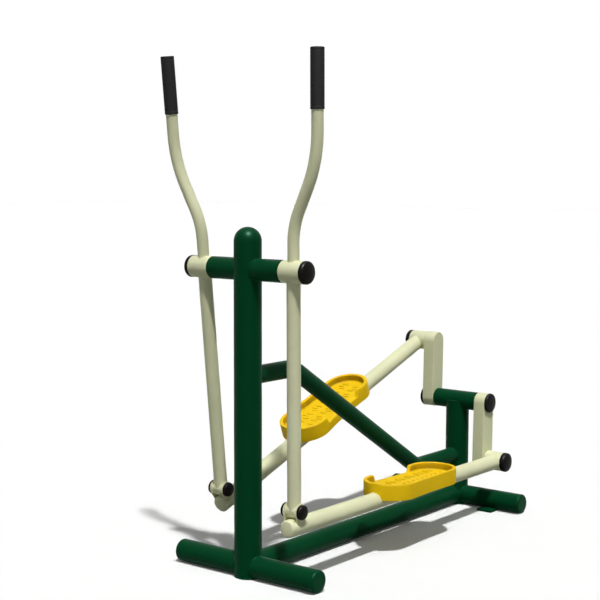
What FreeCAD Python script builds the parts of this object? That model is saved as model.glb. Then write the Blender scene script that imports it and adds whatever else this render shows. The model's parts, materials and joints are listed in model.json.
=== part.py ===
import FreeCAD, Part
import math
import os

# Outdoor air walker of the elliptical kind: a tube frame on the ground, two
# levers that rock on a cross axle, two pedal bars and a pair of cranks.
# Millimetres. Origin: foot of the main post on the ground. +X is the user's
# right, +Y runs back to the cranks and +Z is up.

V = FreeCAD.Vector
ORIGIN = V(0, 0, 0)
X_DIR = V(1, 0, 0)
Y_DIR = V(0, 1, 0)
Z_DIR = V(0, 0, 1)
FAR = 3000.0

# Fits and gaps
running_clearance = 0.05
side_gap = 1.0
plug_gap = 0.2
flat_limit = 1.0
thread_end = 1.0

# Black caps overlap what they close by this much
cap_lip = 0.4

# Posts
post_od = 90.0
post_wall = 3.0
post_height = 1087.0
dome_wall = 3.0
foot_disc_thickness = 6.0
rear_y = 1272.0
rear_ledge_thickness = 3.0

# Tubes on the ground
base_od = 73.0
base_wall = 3.0
front_base_half = 292.0
rear_base_half = 297.0
long_base_od = 73.0
long_base_wall = 3.0
base_cap_thickness = 10.0
base_cap_rounding = 7.0
base_cap_plug = 12.0

# Lugs that take the ground bolts
lug_x = 168.0
lug_width = 62.0
lug_reach = 71.0
lug_thickness = 8.0
lug_under_tube = 12.0
lug_hole_d = 14.0
lug_hole_from_edge = 16.0

# Brace between the posts
brace_od = 60.0
brace_wall = 3.0
brace_top_z = 654.0
brace_low_z = 195.0
brace_top_run = 228.0
brace_low_run = 294.0
brace_bend_r = 120.0

# Cross bar and axle for the levers
pivot_below_post_top = 90.0
pivot_bar_od = 72.0
pivot_bar_wall = 5.0
pivot_bar_half = 147.5
axle_d = 30.0
axle_thread_d = 20.0
axle_collar_length = 14.0
axle_collar_nose = 3.0
axle_collar_nose_wall = 6.0
axle_washer_od = 40.0
axle_washer_thickness = 3.0
axle_nut_flats = 30.0
axle_nut_height = 11.0

# Levers
lever_sleeve_length = 82.5
lever_tube_inset = 37.7
lever_sleeve_wall = 5.0
lever_bearing_width = 16.0
lever_bearing_inset = 3.0
lever_bearing_shoulder = 2.0
lever_nut_room = 20.0
lever_length = 753.5
lower_tube_od = 44.5
lower_tube_wall = 3.0
handle_od = 38.0
handle_wall = 2.5
handle_offset = 94.0
handle_low_bend_z = 141.0
handle_high_bend_z = 341.5
handle_low_bend_r = 230.0
handle_high_bend_r = 400.0
handle_top_z = 676.0
grip_od = 44.0
grip_length = 185.0
grip_top_wall = 5.0
grip_top_rounding = 2.0
lever_cap_rim = 8.0
lever_cap_dome = 13.0
lever_cap_shoulder = 8.0
lever_cap_spigot = 7.0
lever_cap_spigot_wall = 2.5

# Joint between a lever and its pedal bar
foot_sleeve_od = 45.0
foot_sleeve_wall = 2.5
foot_sleeve_half = 21.8
foot_bearing_width = 12.0
foot_bearing_inset = 1.0
foot_bolt_d = 17.0
foot_bolt_flats = 22.0
foot_bolt_head = 8.0
foot_nut_height = 8.0
ear_gap = 0.8
ear_thickness = 4.0
ear_radius = 26.0
ear_base_half = 14.0
ear_base_z = 8.0
foot_cap_od = 47.0
foot_cap_clearance = 1.3
foot_cap_rim = 7.5
foot_cap_dome = 9.0
foot_cap_shoulder = 5.5

# Pedal bars, measured from the crank pin
bar_reach = 1260.0
bar_rise = 51.5
bar_od = 57.0
bar_wall = 3.0
right_bar_nose = 31.0
left_bar_nose = 17.0
bar_dome_length = 9.5
bar_dome_knuckle = 8.0
crank_sleeve_od = 72.0
crank_sleeve_wall = 3.0
crank_sleeve_outside = 29.0
crank_sleeve_gap = 1.5
sleeve_cap_rim = 11.0
sleeve_cap_dome = 12.0
sleeve_cap_shoulder = 7.5
sleeve_cap_spigot = 3.0

# Crank set
crank_z = 413.0
crank_radius = 222.5
crank_lean_deg = -1.5
housing_od = 71.0
housing_wall = 4.5
housing_half = 93.0
housing_edge_rounding = 3.0
housing_bearing_width = 16.0
housing_bearing_inset = 6.0
crank_gap = 2.0
crank_thickness = 47.0
crank_width = 74.0
crank_rounding = 3.0
shaft_d = 30.0
shaft_thread_d = 24.0
hub_recess_d = 48.0
hub_recess_depth = 18.0
hub_washer_thickness = 2.5
hub_nut_flats = 36.0
hub_nut_height = 12.0
hub_cap_rim = 5.3
hub_cap_dome = 9.5
hub_cap_shoulder = 6.0
hub_cap_spigot = 1.5
key_width = 8.0
key_height = 7.0
key_length = 22.0
pin_root_d = 24.0
pin_root_inset = 8.0
pin_collar_d = 30.0
pin_collar_thickness = 4.0
pin_journal_d = 15.0
pin_thread_d = 12.0
pin_bearing_od = 28.0
pin_bearing_width = 7.0
pin_bearing_pitch = 22.0
pin_spacer_wall = 2.5
pin_washer_od = 26.0
pin_washer_thickness = 2.0
pin_nut_flats = 19.0
pin_nut_height = 8.0

# Footboards, measured along the bar from the crank pin and up from the bar
right_board_heel = 390.0
left_board_heel = 425.0
board_length = 435.0
board_waist_from_toe = 230.0
board_outer_toe = 102.0
board_outer_waist = 90.0
board_outer_heel = 94.0
board_inner_toe = 99.0
board_inner_waist = 74.0
board_inner_heel = 84.0
board_toe_r = 89.0
board_heel_r = 84.0
board_waist_r = 1200.0
board_wall = 11.0
board_skirt_wall = 6.0
board_bottom_z = 5.0
board_floor_thickness = 4.0
board_top_z = 60.0
board_rim_rounding = 4.0
board_tube_gap = 0.8
board_gap_start = 102.0
board_gap_end = 320.0
bracket_half_width = 45.0
bracket_length = 300.0
bracket_thickness = 3.0
bracket_above_tube = 0.5
bracket_web_x = 16.0
bracket_web_low_z = 14.0
bracket_web_thickness = 5.0
board_bolt_d = 8.0
board_bolt_x = 32.0
board_bolt_pitch = 220.0
board_bolt_flats = 13.0
board_bolt_head = 5.3
board_bolt_cover = 1.0

# Values worked out from the driving sizes
pivot_z = post_height - pivot_below_post_top
post_r = post_od / 2
base_r = base_od / 2
long_base_r = long_base_od / 2
axle_r = axle_d / 2
pivot_bar_r = pivot_bar_od / 2
pivot_bar_bore = pivot_bar_r - pivot_bar_wall
lever_in = pivot_bar_half + side_gap
lever_out = lever_in + lever_sleeve_length
lever_x = lever_in + lever_tube_inset
lever_sleeve_r = pivot_bar_r
lever_sleeve_bore = lever_sleeve_r - lever_sleeve_wall
lever_bearing_in = lever_in + lever_bearing_inset
lever_bearing_out = lever_out - lever_nut_room
foot_sleeve_r = foot_sleeve_od / 2
foot_sleeve_bore = foot_sleeve_r - foot_sleeve_wall
ear_in = foot_sleeve_half + ear_gap
ear_out = ear_in + ear_thickness
bar_r = bar_od / 2
crank_in = housing_half + crank_gap
crank_out = crank_in + crank_thickness
crank_sleeve_r = crank_sleeve_od / 2
crank_sleeve_in = crank_out + crank_sleeve_gap
crank_sleeve_out = lever_x + crank_sleeve_outside
shaft_r = shaft_d / 2
hub_seat = crank_out - hub_recess_depth
board_floor_low = bar_r + bracket_above_tube + bracket_thickness
board_floor_top = board_floor_low + board_floor_thickness


def cylinder(radius, start, end):
    """A round bar from one point to another."""
    along = end - start
    return Part.makeCylinder(radius, along.Length, start, along)


def bar_x(radius, x0, x1, y=0.0, z=0.0):
    """A round bar along X."""
    return cylinder(radius, V(x0, y, z), V(x1, y, z))


def ring_x(outer, inner, x0, x1, y=0.0, z=0.0):
    """A tube or ring along X."""
    return bar_x(outer, x0, x1, y, z).cut(bar_x(inner, x0, x1, y, z))


def box(x0, x1, y0, y1, z0, z1):
    """A block between two corners."""
    return Part.makeBox(x1 - x0, y1 - y0, z1 - z0, V(x0, y0, z0))


def hex_x(flats, x0, x1, y=0.0, z=0.0):
    """A hexagonal bar along X."""
    corner = flats / math.sqrt(3)
    turns = [math.radians(60 * k) for k in range(7)]
    points = [V(x0, y + corner * math.cos(t), z + corner * math.sin(t)) for t in turns]
    return Part.Face(Part.makePolygon(points)).extrude(V(x1 - x0, 0, 0))


def revolve_x(edges):
    """A solid turned about the X axis from a closed profile in the XZ plane."""
    face = Part.Face(Part.Wire(edges))
    solid = face.revolve(ORIGIN, X_DIR, 360)
    return Part.makeSolid(solid.Shells[0])


def line(a, b):
    """A straight edge."""
    return Part.makeLine(a, b)


def on_circle(centre, radius, angle):
    """A point of a circle in the XZ plane, at an angle from the X axis."""
    return centre + V(radius * math.cos(angle), 0, radius * math.sin(angle))


def cap_x(radius, rim, rise, shoulder):
    """A cap seated at x = 0: straight rim, rounded shoulder and shallow crown."""
    inset = radius - shoulder
    crown_r = (inset ** 2 + rise ** 2 - shoulder ** 2) / (2 * (rise - shoulder))
    crown_centre = V(rim + rise - crown_r, 0, 0)
    shoulder_centre = V(rim, 0, inset)
    lean = math.atan2(inset, crown_r - rise)
    upright = math.pi / 2
    rim_end = V(rim, 0, radius)
    meeting = on_circle(shoulder_centre, shoulder, lean)
    shoulder_middle = on_circle(shoulder_centre, shoulder, (lean + upright) / 2)
    crown_middle = on_circle(crown_centre, crown_r, lean / 2)
    top = V(rim + rise, 0, 0)
    edges = [
        line(ORIGIN, V(0, 0, radius)),
        line(V(0, 0, radius), rim_end),
        Part.Arc(rim_end, shoulder_middle, meeting).toShape(),
        Part.Arc(meeting, crown_middle, top).toShape(),
        line(top, ORIGIN),
    ]
    return revolve_x(edges)


def bearing_x(outer, bore, width, x0):
    """A sealed ball bearing: both rings with a shield set back on each face."""
    body = ring_x(outer, bore, x0, x0 + width)
    depth = width / 14
    rim = (outer - bore) / 4
    for start in (x0, x0 + width - depth):
        body = body.cut(ring_x(outer - rim, bore + rim, start, start + depth))
    return body


def nut_x(flats, hole_r, x0, x1):
    """A hexagonal nut along X."""
    return hex_x(flats, x0, x1).cut(bar_x(hole_r, x0, x1))


def mirrored(shape):
    """The left-hand copy of a right-hand shape."""
    return shape.mirror(ORIGIN, X_DIR)


def sided(shape, side):
    """The shape itself for the right side, its mirror image for the left."""
    if side > 0:
        return shape
    return mirrored(shape)


def posed(shape, turn_deg, y, z):
    """The shape turned about its own X axis and moved to a place."""
    moved = shape.copy()
    moved.rotate(ORIGIN, X_DIR, turn_deg)
    moved.translate(V(0, y, z))
    return moved


def group(solids):
    """Several separate solids of one kind."""
    return Part.makeCompound(solids)


def bent_path(points, radii):
    """A wire of straight runs joined by tangent arcs at the inner points."""
    edges = []
    start = points[0]
    for k, radius in enumerate(radii):
        before, corner, after = points[k], points[k + 1], points[k + 2]
        way_in = (before - corner).normalize()
        way_out = (after - corner).normalize()
        half = way_in.getAngle(way_out) / 2
        reach = radius / math.tan(half)
        arc_start = corner + way_in * reach
        arc_end = corner + way_out * reach
        bisector = (way_in + way_out).normalize()
        arc_mid = corner + bisector * (radius / math.sin(half) - radius)
        edges.append(line(start, arc_start))
        edges.append(Part.Arc(arc_start, arc_mid, arc_end).toShape())
        start = arc_end
    edges.append(line(start, points[-1]))
    return Part.Wire(edges)


def swept_tube(path, outer, inner, start, along):
    """A tube along a path that starts at a point in a direction."""
    solids = []
    for radius in (outer, inner):
        circle = Part.Wire(Part.makeCircle(radius, start, along))
        solids.append(path.makePipeShell([circle], True, False))
    return solids[0].cut(solids[1])


def linkage():
    """Turns of both levers and pedal bars, and the pins, from the closed chain."""
    lean = math.radians(crank_lean_deg)
    span = math.hypot(bar_reach, bar_rise)
    inner_angle = math.atan2(bar_rise, -bar_reach)
    result = {}
    for side in (1, -1):
        pin_y = rear_y + side * crank_radius * math.sin(lean)
        pin_z = crank_z - side * crank_radius * math.cos(lean)
        away = math.hypot(pin_y, pivot_z - pin_z)
        reach = (lever_length ** 2 - span ** 2 + away ** 2) / (2 * away)
        off = math.sqrt(lever_length ** 2 - reach ** 2)
        ahead_y = pin_y / away
        ahead_z = (pin_z - pivot_z) / away
        foot_y = reach * ahead_y + off * ahead_z
        foot_z = pivot_z + reach * ahead_z - off * ahead_y
        lever_turn = math.degrees(math.atan2(foot_y, pivot_z - foot_z))
        seen = math.atan2(foot_z - pin_z, foot_y - pin_y)
        bar_turn = math.degrees(seen - inner_angle)
        bar_turn = (bar_turn + 180) % 360 - 180
        result[side] = (lever_turn, (foot_y, foot_z), bar_turn, (pin_y, pin_z))
    return result


# Frame

def post_at(y):
    """The space that a post fills from the floor up, for coping tubes to it."""
    return cylinder(post_r, V(0, y, -FAR), V(0, y, FAR))


def main_post():
    low = V(0, 0, foot_disc_thickness)
    high = V(0, 0, post_height)
    tube = cylinder(post_r, low, high).cut(cylinder(post_r - post_wall, low, high))
    return tube.cut(bar_x(pivot_bar_r, -post_od, post_od, 0, pivot_z))


def post_dome():
    seat = V(0, 0, post_height)
    shell = Part.makeSphere(post_r, seat).cut(Part.makeSphere(post_r - dome_wall, seat))
    return shell.common(cylinder(post_od, seat, V(0, 0, post_height + post_od)))


def post_foot_discs():
    discs = []
    for y in (0, rear_y):
        discs.append(cylinder(post_r, V(0, y, 0), V(0, y, foot_disc_thickness)))
    return group(discs)


def rear_post():
    """A post with a ledge plate that closes its top on both sides of the housing."""
    low = V(0, rear_y, foot_disc_thickness)
    high = V(0, rear_y, crank_z)
    ledge_low = V(0, rear_y, crank_z - rear_ledge_thickness)
    tube = cylinder(post_r, low, high).cut(cylinder(post_r - post_wall, low, ledge_low))
    return tube.cut(bar_x(housing_od / 2, -post_od, post_od, rear_y, crank_z))


def cross_stubs(y, half_length):
    """The two ground tubes that leave a post sideways."""
    tube_end = half_length - base_cap_thickness
    tube = ring_x(base_r, base_r - base_wall, 0, tube_end, y, base_r)
    right = tube.cut(post_at(y))
    return group([right, mirrored(right)])


def base_cap():
    """A pressed end cap with a rounded edge and a plug, seated at x = 0."""
    disc = bar_x(base_r, 0, base_cap_thickness)
    outer_edges = [e for e in disc.Edges if e.BoundBox.XMin > base_cap_thickness / 2]
    disc = disc.makeFillet(base_cap_rounding, outer_edges)
    plug_r = base_r - base_wall - plug_gap
    return disc.fuse(bar_x(plug_r, -base_cap_plug, 0))


def base_tube_caps():
    caps = []
    for y, half_length in ((0, front_base_half), (rear_y, rear_base_half)):
        cap = base_cap()
        cap.translate(V(half_length - base_cap_thickness, y, base_r))
        caps += [cap, mirrored(cap)]
    return group(caps)


def long_base_tube():
    ends = [V(0, 0, long_base_r), V(0, rear_y, long_base_r)]
    outer = cylinder(long_base_r, ends[0], ends[1])
    inner = cylinder(long_base_r - long_base_wall, ends[0], ends[1])
    tube = outer.cut(inner)
    for y in (0, rear_y):
        tube = tube.cut(post_at(y)).cut(bar_x(base_r, -base_od, base_od, y, base_r))
    return tube


def ground_lugs():
    """Four flat lugs welded to the rear cross tubes, each with a bolt hole."""
    lugs = []
    tube = bar_x(base_r, 0, rear_base_half, rear_y, base_r)
    for toward in (-1, 1):
        edge = rear_y + toward * lug_reach
        inside = rear_y + toward * lug_under_tube
        low_y, high_y = sorted((edge, inside))
        left_x = lug_x - lug_width / 2
        lug = box(left_x, left_x + lug_width, low_y, high_y, 0, lug_thickness).cut(tube)
        hole_y = edge - toward * lug_hole_from_edge
        hole = cylinder(lug_hole_d / 2, V(lug_x, hole_y, 0), V(lug_x, hole_y, lug_thickness))
        lug = lug.cut(hole)
        lugs += [lug, mirrored(lug)]
    return group(lugs)


def brace_tube():
    points = [
        V(0, 0, brace_top_z),
        V(0, brace_top_run, brace_top_z),
        V(0, rear_y - brace_low_run, brace_low_z),
        V(0, rear_y, brace_low_z),
    ]
    path = bent_path(points, [brace_bend_r, brace_bend_r])
    r = brace_od / 2
    tube = swept_tube(path, r, r - brace_wall, points[0], Y_DIR)
    return tube.cut(post_at(0)).cut(post_at(rear_y))


def shaft_housing():
    shell = bar_x(housing_od / 2, -housing_half, housing_half)
    ends = [e for e in shell.Edges if e.BoundBox.XLength < flat_limit]
    shell = shell.makeFillet(housing_edge_rounding, ends)
    bore = housing_od / 2 - housing_wall
    shell = shell.cut(bar_x(bore, -housing_half, housing_half))
    shell.translate(V(0, rear_y, crank_z))
    return shell


def housing_bearings():
    start = housing_half - housing_bearing_inset - housing_bearing_width
    outer = housing_od / 2 - housing_wall
    bearing = bearing_x(outer, shaft_r + running_clearance, housing_bearing_width, start)
    bearing.translate(V(0, rear_y, crank_z))
    return group([bearing, mirrored(bearing)])


def pivot_bar():
    return ring_x(pivot_bar_r, pivot_bar_bore, -pivot_bar_half, pivot_bar_half, 0, pivot_z)


def axle_end():
    """Where the plain part of the lever axle stops, past the outer bearing."""
    return lever_bearing_out + side_gap


def axle_tip():
    return axle_end() + axle_washer_thickness + axle_nut_height + thread_end


def pivot_axle():
    plain = bar_x(axle_r, -axle_end(), axle_end())
    thread = bar_x(axle_thread_d / 2, -axle_tip(), axle_tip())
    axle = plain.fuse(thread)
    axle.translate(V(0, 0, pivot_z))
    return axle


def axle_collars():
    """Turned collars that hold the axle in the ends of the cross bar."""
    ring = ring_x(pivot_bar_bore, axle_r, pivot_bar_half - axle_collar_length, pivot_bar_half)
    nose_r = axle_r + axle_collar_nose_wall
    nose = ring_x(nose_r, axle_r, pivot_bar_half, pivot_bar_half + axle_collar_nose)
    collar = ring.fuse(nose)
    collar.translate(V(0, 0, pivot_z))
    return group([collar, mirrored(collar)])


def axle_nuts():
    washer_end = axle_end() + axle_washer_thickness
    hole = axle_thread_d / 2
    washer = ring_x(axle_washer_od / 2, hole, axle_end(), washer_end)
    nut = nut_x(axle_nut_flats, hole, washer_end, washer_end + axle_nut_height)
    pieces = []
    for piece in (washer, nut):
        piece.translate(V(0, 0, pivot_z))
        pieces += [piece, mirrored(piece)]
    return group(pieces)


# Crank set, built upright about the shaft with the right pin straight down

def crank_arm():
    half = crank_width / 2
    foot = V(crank_in, 0, -crank_radius)
    top = V(crank_in, 0, 0)
    right_top, left_top = top + Y_DIR * half, top - Y_DIR * half
    right_foot, left_foot = foot + Y_DIR * half, foot - Y_DIR * half
    outline = Part.Wire([
        Part.Arc(right_top, top + Z_DIR * half, left_top).toShape(),
        line(left_top, left_foot),
        Part.Arc(left_foot, foot - Z_DIR * half, right_foot).toShape(),
        line(right_foot, right_top),
    ])
    arm = Part.Face(outline).extrude(V(crank_thickness, 0, 0))
    rims = [e for e in arm.Edges if e.BoundBox.XLength < flat_limit]
    arm = arm.makeFillet(crank_rounding, rims)
    arm = arm.cut(bar_x(shaft_r, crank_in, crank_out))
    arm = arm.cut(bar_x(hub_recess_d / 2, hub_seat, crank_out))
    pin_seat = crank_in + pin_root_inset
    arm = arm.cut(bar_x(pin_root_d / 2, pin_seat, crank_out, 0, -crank_radius))
    return arm.cut(shaft_key())


def left_arm():
    arm = mirrored(crank_arm())
    arm.rotate(ORIGIN, X_DIR, 180)
    return arm


def shaft_key():
    """A parallel key half sunk in the shaft, under the hub."""
    low = shaft_r - key_height / 2
    start = hub_seat - key_length
    return box(start, hub_seat, -key_width / 2, key_width / 2, low, low + key_height)


def both_keys():
    key = shaft_key()
    other = mirrored(key)
    other.rotate(ORIGIN, X_DIR, 180)
    return group([key, other])


def crank_shaft():
    plain = bar_x(shaft_r, -hub_seat, hub_seat)
    tip = hub_seat + hub_washer_thickness + hub_nut_height + thread_end
    shaft = plain.fuse(bar_x(shaft_thread_d / 2, -tip, tip))
    for key in both_keys().Solids:
        shaft = shaft.cut(key)
    return shaft


def pin_bearing_starts():
    middle = (crank_sleeve_in + crank_sleeve_out) / 2
    first = middle - pin_bearing_pitch / 2 - pin_bearing_width / 2
    return first, first + pin_bearing_pitch


def pin_end():
    """Where the journal stops, at the outer face of the outer bearing."""
    return pin_bearing_starts()[1] + pin_bearing_width


def crank_pin():
    """A shouldered pin with a collar outside the arm and a threaded end."""
    journal = pin_journal_d / 2
    collar_end = crank_out + pin_collar_thickness
    tip = pin_end() + pin_washer_thickness + pin_nut_height + thread_end
    pin = bar_x(pin_root_d / 2, crank_in + pin_root_inset, crank_out)
    pin = pin.fuse(bar_x(pin_collar_d / 2, crank_out, collar_end))
    pin = pin.fuse(bar_x(journal + pin_spacer_wall, collar_end, pin_bearing_starts()[0]))
    pin = pin.fuse(bar_x(journal, collar_end, pin_end()))
    pin = pin.fuse(bar_x(pin_thread_d / 2, pin_end(), tip))
    return pin


def at_pins(shape):
    """A right-hand shape at the right pin, and its copy at the left pin."""
    right = shape.copy()
    right.translate(V(0, 0, -crank_radius))
    left = mirrored(shape)
    left.translate(V(0, 0, crank_radius))
    return [right, left]


def crank_pin_bearings():
    solids = []
    for start in pin_bearing_starts():
        bearing = bearing_x(pin_bearing_od / 2, pin_journal_d / 2, pin_bearing_width, start)
        solids += at_pins(bearing)
    first_end = pin_bearing_starts()[0] + pin_bearing_width
    journal = pin_journal_d / 2
    spacer = ring_x(journal + pin_spacer_wall, journal, first_end, pin_bearing_starts()[1])
    return group(solids + at_pins(spacer))


def crank_nuts():
    hub_hole = shaft_thread_d / 2
    hub_washer_end = hub_seat + hub_washer_thickness
    washer = ring_x(hub_recess_d / 2 - plug_gap, hub_hole, hub_seat, hub_washer_end)
    nut = nut_x(hub_nut_flats, hub_hole, hub_washer_end, hub_washer_end + hub_nut_height)
    pieces = [washer, nut, mirrored(washer), mirrored(nut)]
    pin_hole = pin_thread_d / 2
    pin_washer_end = pin_end() + pin_washer_thickness
    pin_washer = ring_x(pin_washer_od / 2, pin_hole, pin_end(), pin_washer_end)
    pin_nut = nut_x(pin_nut_flats, pin_hole, pin_washer_end, pin_washer_end + pin_nut_height)
    return group(pieces + at_pins(pin_washer) + at_pins(pin_nut))


def hub_caps():
    cap = cap_x(crank_width / 2 + cap_lip, hub_cap_rim, hub_cap_dome, hub_cap_shoulder)
    cap = cap.fuse(bar_x(hub_recess_d / 2 - plug_gap, -hub_cap_spigot, 0))
    cap.translate(V(crank_out, 0, 0))
    return group([cap, mirrored(cap)])


# Levers, built upright about the axle

def lever_sleeve():
    shell = ring_x(lever_sleeve_r, lever_sleeve_bore - lever_bearing_shoulder, lever_in, lever_out)
    seat_end = lever_bearing_in + lever_bearing_width
    shell = shell.cut(bar_x(lever_sleeve_bore, lever_in, seat_end))
    outer_seat = lever_bearing_out - lever_bearing_width
    return shell.cut(bar_x(lever_sleeve_bore, outer_seat, lever_out))


def lever_bearings():
    bore = axle_r + running_clearance
    starts = (lever_bearing_in, lever_bearing_out - lever_bearing_width)
    return group([bearing_x(lever_sleeve_bore, bore, lever_bearing_width, s) for s in starts])


def handle_tube():
    top_x = lever_x + handle_offset
    points = [
        V(lever_x, 0, 0),
        V(lever_x, 0, handle_low_bend_z),
        V(top_x, 0, handle_high_bend_z),
        V(top_x, 0, handle_top_z),
    ]
    path = bent_path(points, [handle_low_bend_r, handle_high_bend_r])
    r = handle_od / 2
    tube = swept_tube(path, r, r - handle_wall, points[0], Z_DIR)
    return tube.cut(bar_x(lever_sleeve_r, lever_in, lever_out))


def lower_tube():
    r = lower_tube_od / 2
    ends = (V(lever_x, 0, 0), V(lever_x, 0, -lever_length))
    tube = cylinder(r, *ends).cut(cylinder(r - lower_tube_wall, *ends))
    tube = tube.cut(bar_x(lever_sleeve_r, lever_in, lever_out))
    return tube.cut(bar_x(foot_sleeve_r, 0, FAR, 0, -lever_length))


def foot_sleeve():
    ends = (lever_x - foot_sleeve_half, lever_x + foot_sleeve_half)
    return ring_x(foot_sleeve_r, foot_sleeve_bore, ends[0], ends[1], 0, -lever_length)


def foot_bearings():
    solids = []
    bore = foot_bolt_d / 2 + running_clearance
    outer_start = foot_sleeve_half - foot_bearing_inset - foot_bearing_width
    inner_start = foot_bearing_inset - foot_sleeve_half
    for start in (inner_start, outer_start):
        bearing = bearing_x(foot_sleeve_bore, bore, foot_bearing_width, lever_x + start)
        bearing.translate(V(0, 0, -lever_length))
        solids.append(bearing)
    return group(solids)


def grip():
    x = lever_x + handle_offset
    top = handle_top_z + grip_top_wall
    low = V(x, 0, top - grip_length)
    body = cylinder(grip_od / 2, low, V(x, 0, top))
    top_edge = [e for e in body.Edges if e.BoundBox.ZMin > top - grip_top_rounding]
    body = body.makeFillet(grip_top_rounding, top_edge)
    return body.cut(cylinder(handle_od / 2, low, V(x, 0, handle_top_z)))


def lever_cap():
    cap = cap_x(lever_sleeve_r + cap_lip, lever_cap_rim, lever_cap_dome, lever_cap_shoulder)
    spigot_r = lever_sleeve_bore - plug_gap
    spigot = ring_x(spigot_r, spigot_r - lever_cap_spigot_wall, -lever_cap_spigot, 0)
    cap = cap.fuse(spigot)
    cap.translate(V(lever_out, 0, 0))
    return cap


# Pedal bars, built level with the crank pin at the origin

def bar_space():
    return cylinder(bar_r, V(lever_x, FAR, 0), V(lever_x, -FAR, 0))


def pedal_tube(nose):
    """The long tube, from the crank sleeve to its nose ahead of the foot bolt."""
    ends = (V(lever_x, 0, 0), V(lever_x, -bar_reach - nose, 0))
    tube = cylinder(bar_r, *ends).cut(cylinder(bar_r - bar_wall, *ends))
    cap_space = bar_x(crank_sleeve_r + cap_lip, crank_sleeve_out, FAR)
    return tube.cut(bar_x(crank_sleeve_r, 0, FAR)).cut(cap_space)


def dished_end(radius, length, knuckle):
    """A shallow dome with a rounded rim: round about Y, pointing forwards from y = 0."""
    bend = V(radius - knuckle, 0, 0)
    crown_r = (bend.x ** 2 + length ** 2 - knuckle ** 2) / (2 * (length - knuckle))
    middle = V(0, crown_r - length, 0)
    tip = V(0, -length, 0)
    side = V(radius, 0, 0)
    slant = (bend - middle).normalize()
    join = middle + slant * crown_r
    rim_middle = bend + (slant + X_DIR).normalize() * knuckle
    crown_middle = middle + (slant - Y_DIR).normalize() * crown_r
    profile = Part.Wire([
        Part.Arc(side, rim_middle, join).toShape(),
        Part.Arc(join, crown_middle, tip).toShape(),
        line(tip, ORIGIN),
        line(ORIGIN, side),
    ])
    solid = Part.Face(profile).revolve(ORIGIN, Y_DIR, 360)
    return Part.makeSolid(solid.Shells[0])


def pedal_tube_dome(nose):
    hollow_knuckle = bar_dome_knuckle - bar_wall
    dome = dished_end(bar_r, bar_dome_length, bar_dome_knuckle)
    dome = dome.cut(dished_end(bar_r - bar_wall, bar_dome_length - bar_wall, hollow_knuckle))
    dome.translate(V(lever_x, -bar_reach - nose, 0))
    return dome


def ear_outline(x0, y):
    """An ear's edge: a round top whose sides run in to a narrower foot."""
    drop = bar_rise - ear_base_z
    reach = math.hypot(ear_base_half, drop)
    dip = math.atan2(drop, ear_base_half) - math.acos(ear_radius / reach)
    top = V(x0, y, bar_rise)
    level = top - Z_DIR * (ear_radius * math.sin(dip))
    aside = Y_DIR * (ear_radius * math.cos(dip))
    front, back = level - aside, level + aside
    base_front = V(x0, y - ear_base_half, ear_base_z)
    base_back = V(x0, y + ear_base_half, ear_base_z)
    return Part.Wire([
        Part.Arc(front, top + Z_DIR * ear_radius, back).toShape(),
        line(back, base_back),
        line(base_back, base_front),
        line(base_front, front),
    ])


def foot_clevis():
    """Two ear plates that stand on the bar and hold the foot bolt."""
    y = -bar_reach
    ears = []
    for x0 in (lever_x - ear_out, lever_x + ear_in):
        plate = Part.Face(ear_outline(x0, y)).extrude(V(ear_thickness, 0, 0))
        bolt_hole = bar_x(foot_bolt_d / 2, x0, x0 + ear_thickness, y, bar_rise)
        ears.append(plate.cut(bar_space()).cut(bolt_hole))
    return group(ears)


def foot_bolt():
    """The bolt through the ears with its nut on the inner side."""
    r = foot_bolt_d / 2
    head_start = lever_x + ear_out
    nut_start = lever_x - ear_out
    nut_end = nut_start - foot_nut_height
    bolt = bar_x(r, nut_end - thread_end, head_start)
    bolt = bolt.fuse(hex_x(foot_bolt_flats, head_start, head_start + foot_bolt_head))
    nut = nut_x(foot_bolt_flats, r, nut_end, nut_start)
    pieces = group([bolt, nut])
    pieces.translate(V(0, -bar_reach, bar_rise))
    return pieces


def foot_caps():
    """Hollow domed caps over the bolt head and the nut."""
    r = foot_cap_od / 2
    cap = cap_x(r, foot_cap_rim, foot_cap_dome, foot_cap_shoulder)
    depth = max(foot_bolt_head, foot_nut_height + thread_end) + foot_cap_clearance / 2
    cap = cap.cut(bar_x(foot_bolt_flats / math.sqrt(3) + foot_cap_clearance, 0, depth))
    outer = cap.copy()
    outer.translate(V(lever_x + ear_out, -bar_reach, bar_rise))
    inner = mirrored(cap)
    inner.translate(V(lever_x - ear_out, -bar_reach, bar_rise))
    return group([outer, inner])


def crank_sleeve():
    bore = crank_sleeve_r - crank_sleeve_wall
    return ring_x(crank_sleeve_r, bore, crank_sleeve_in, crank_sleeve_out)


def crank_sleeve_cap():
    cap = cap_x(crank_sleeve_r + cap_lip, sleeve_cap_rim, sleeve_cap_dome, sleeve_cap_shoulder)
    spigot_r = crank_sleeve_r - crank_sleeve_wall - plug_gap
    spigot_wall = crank_sleeve_wall - plug_gap
    cap = cap.fuse(ring_x(spigot_r, spigot_r - spigot_wall, -sleeve_cap_spigot, 0))
    cap.translate(V(crank_sleeve_out, 0, 0))
    return cap


def rounded_outline(corners, radii):
    """A closed wire through corners that are rounded by tangent arcs."""
    arcs = []
    for k, radius in enumerate(radii):
        corner = corners[k]
        way_in = (corners[k - 1] - corner).normalize()
        way_out = (corners[(k + 1) % len(corners)] - corner).normalize()
        half = way_in.getAngle(way_out) / 2
        reach = radius / math.tan(half)
        bisector = (way_in + way_out).normalize()
        middle = corner + bisector * (radius / math.sin(half) - radius)
        arcs.append((corner + way_in * reach, middle, corner + way_out * reach))
    edges = []
    for k, arc in enumerate(arcs):
        edges.append(line(arcs[k - 1][2], arc[0]))
        edges.append(Part.Arc(*arc).toShape())
    return Part.Wire(edges)


def board_toe(heel):
    """How far the toe of a footboard is ahead of the crank pin."""
    return -heel - board_length


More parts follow.
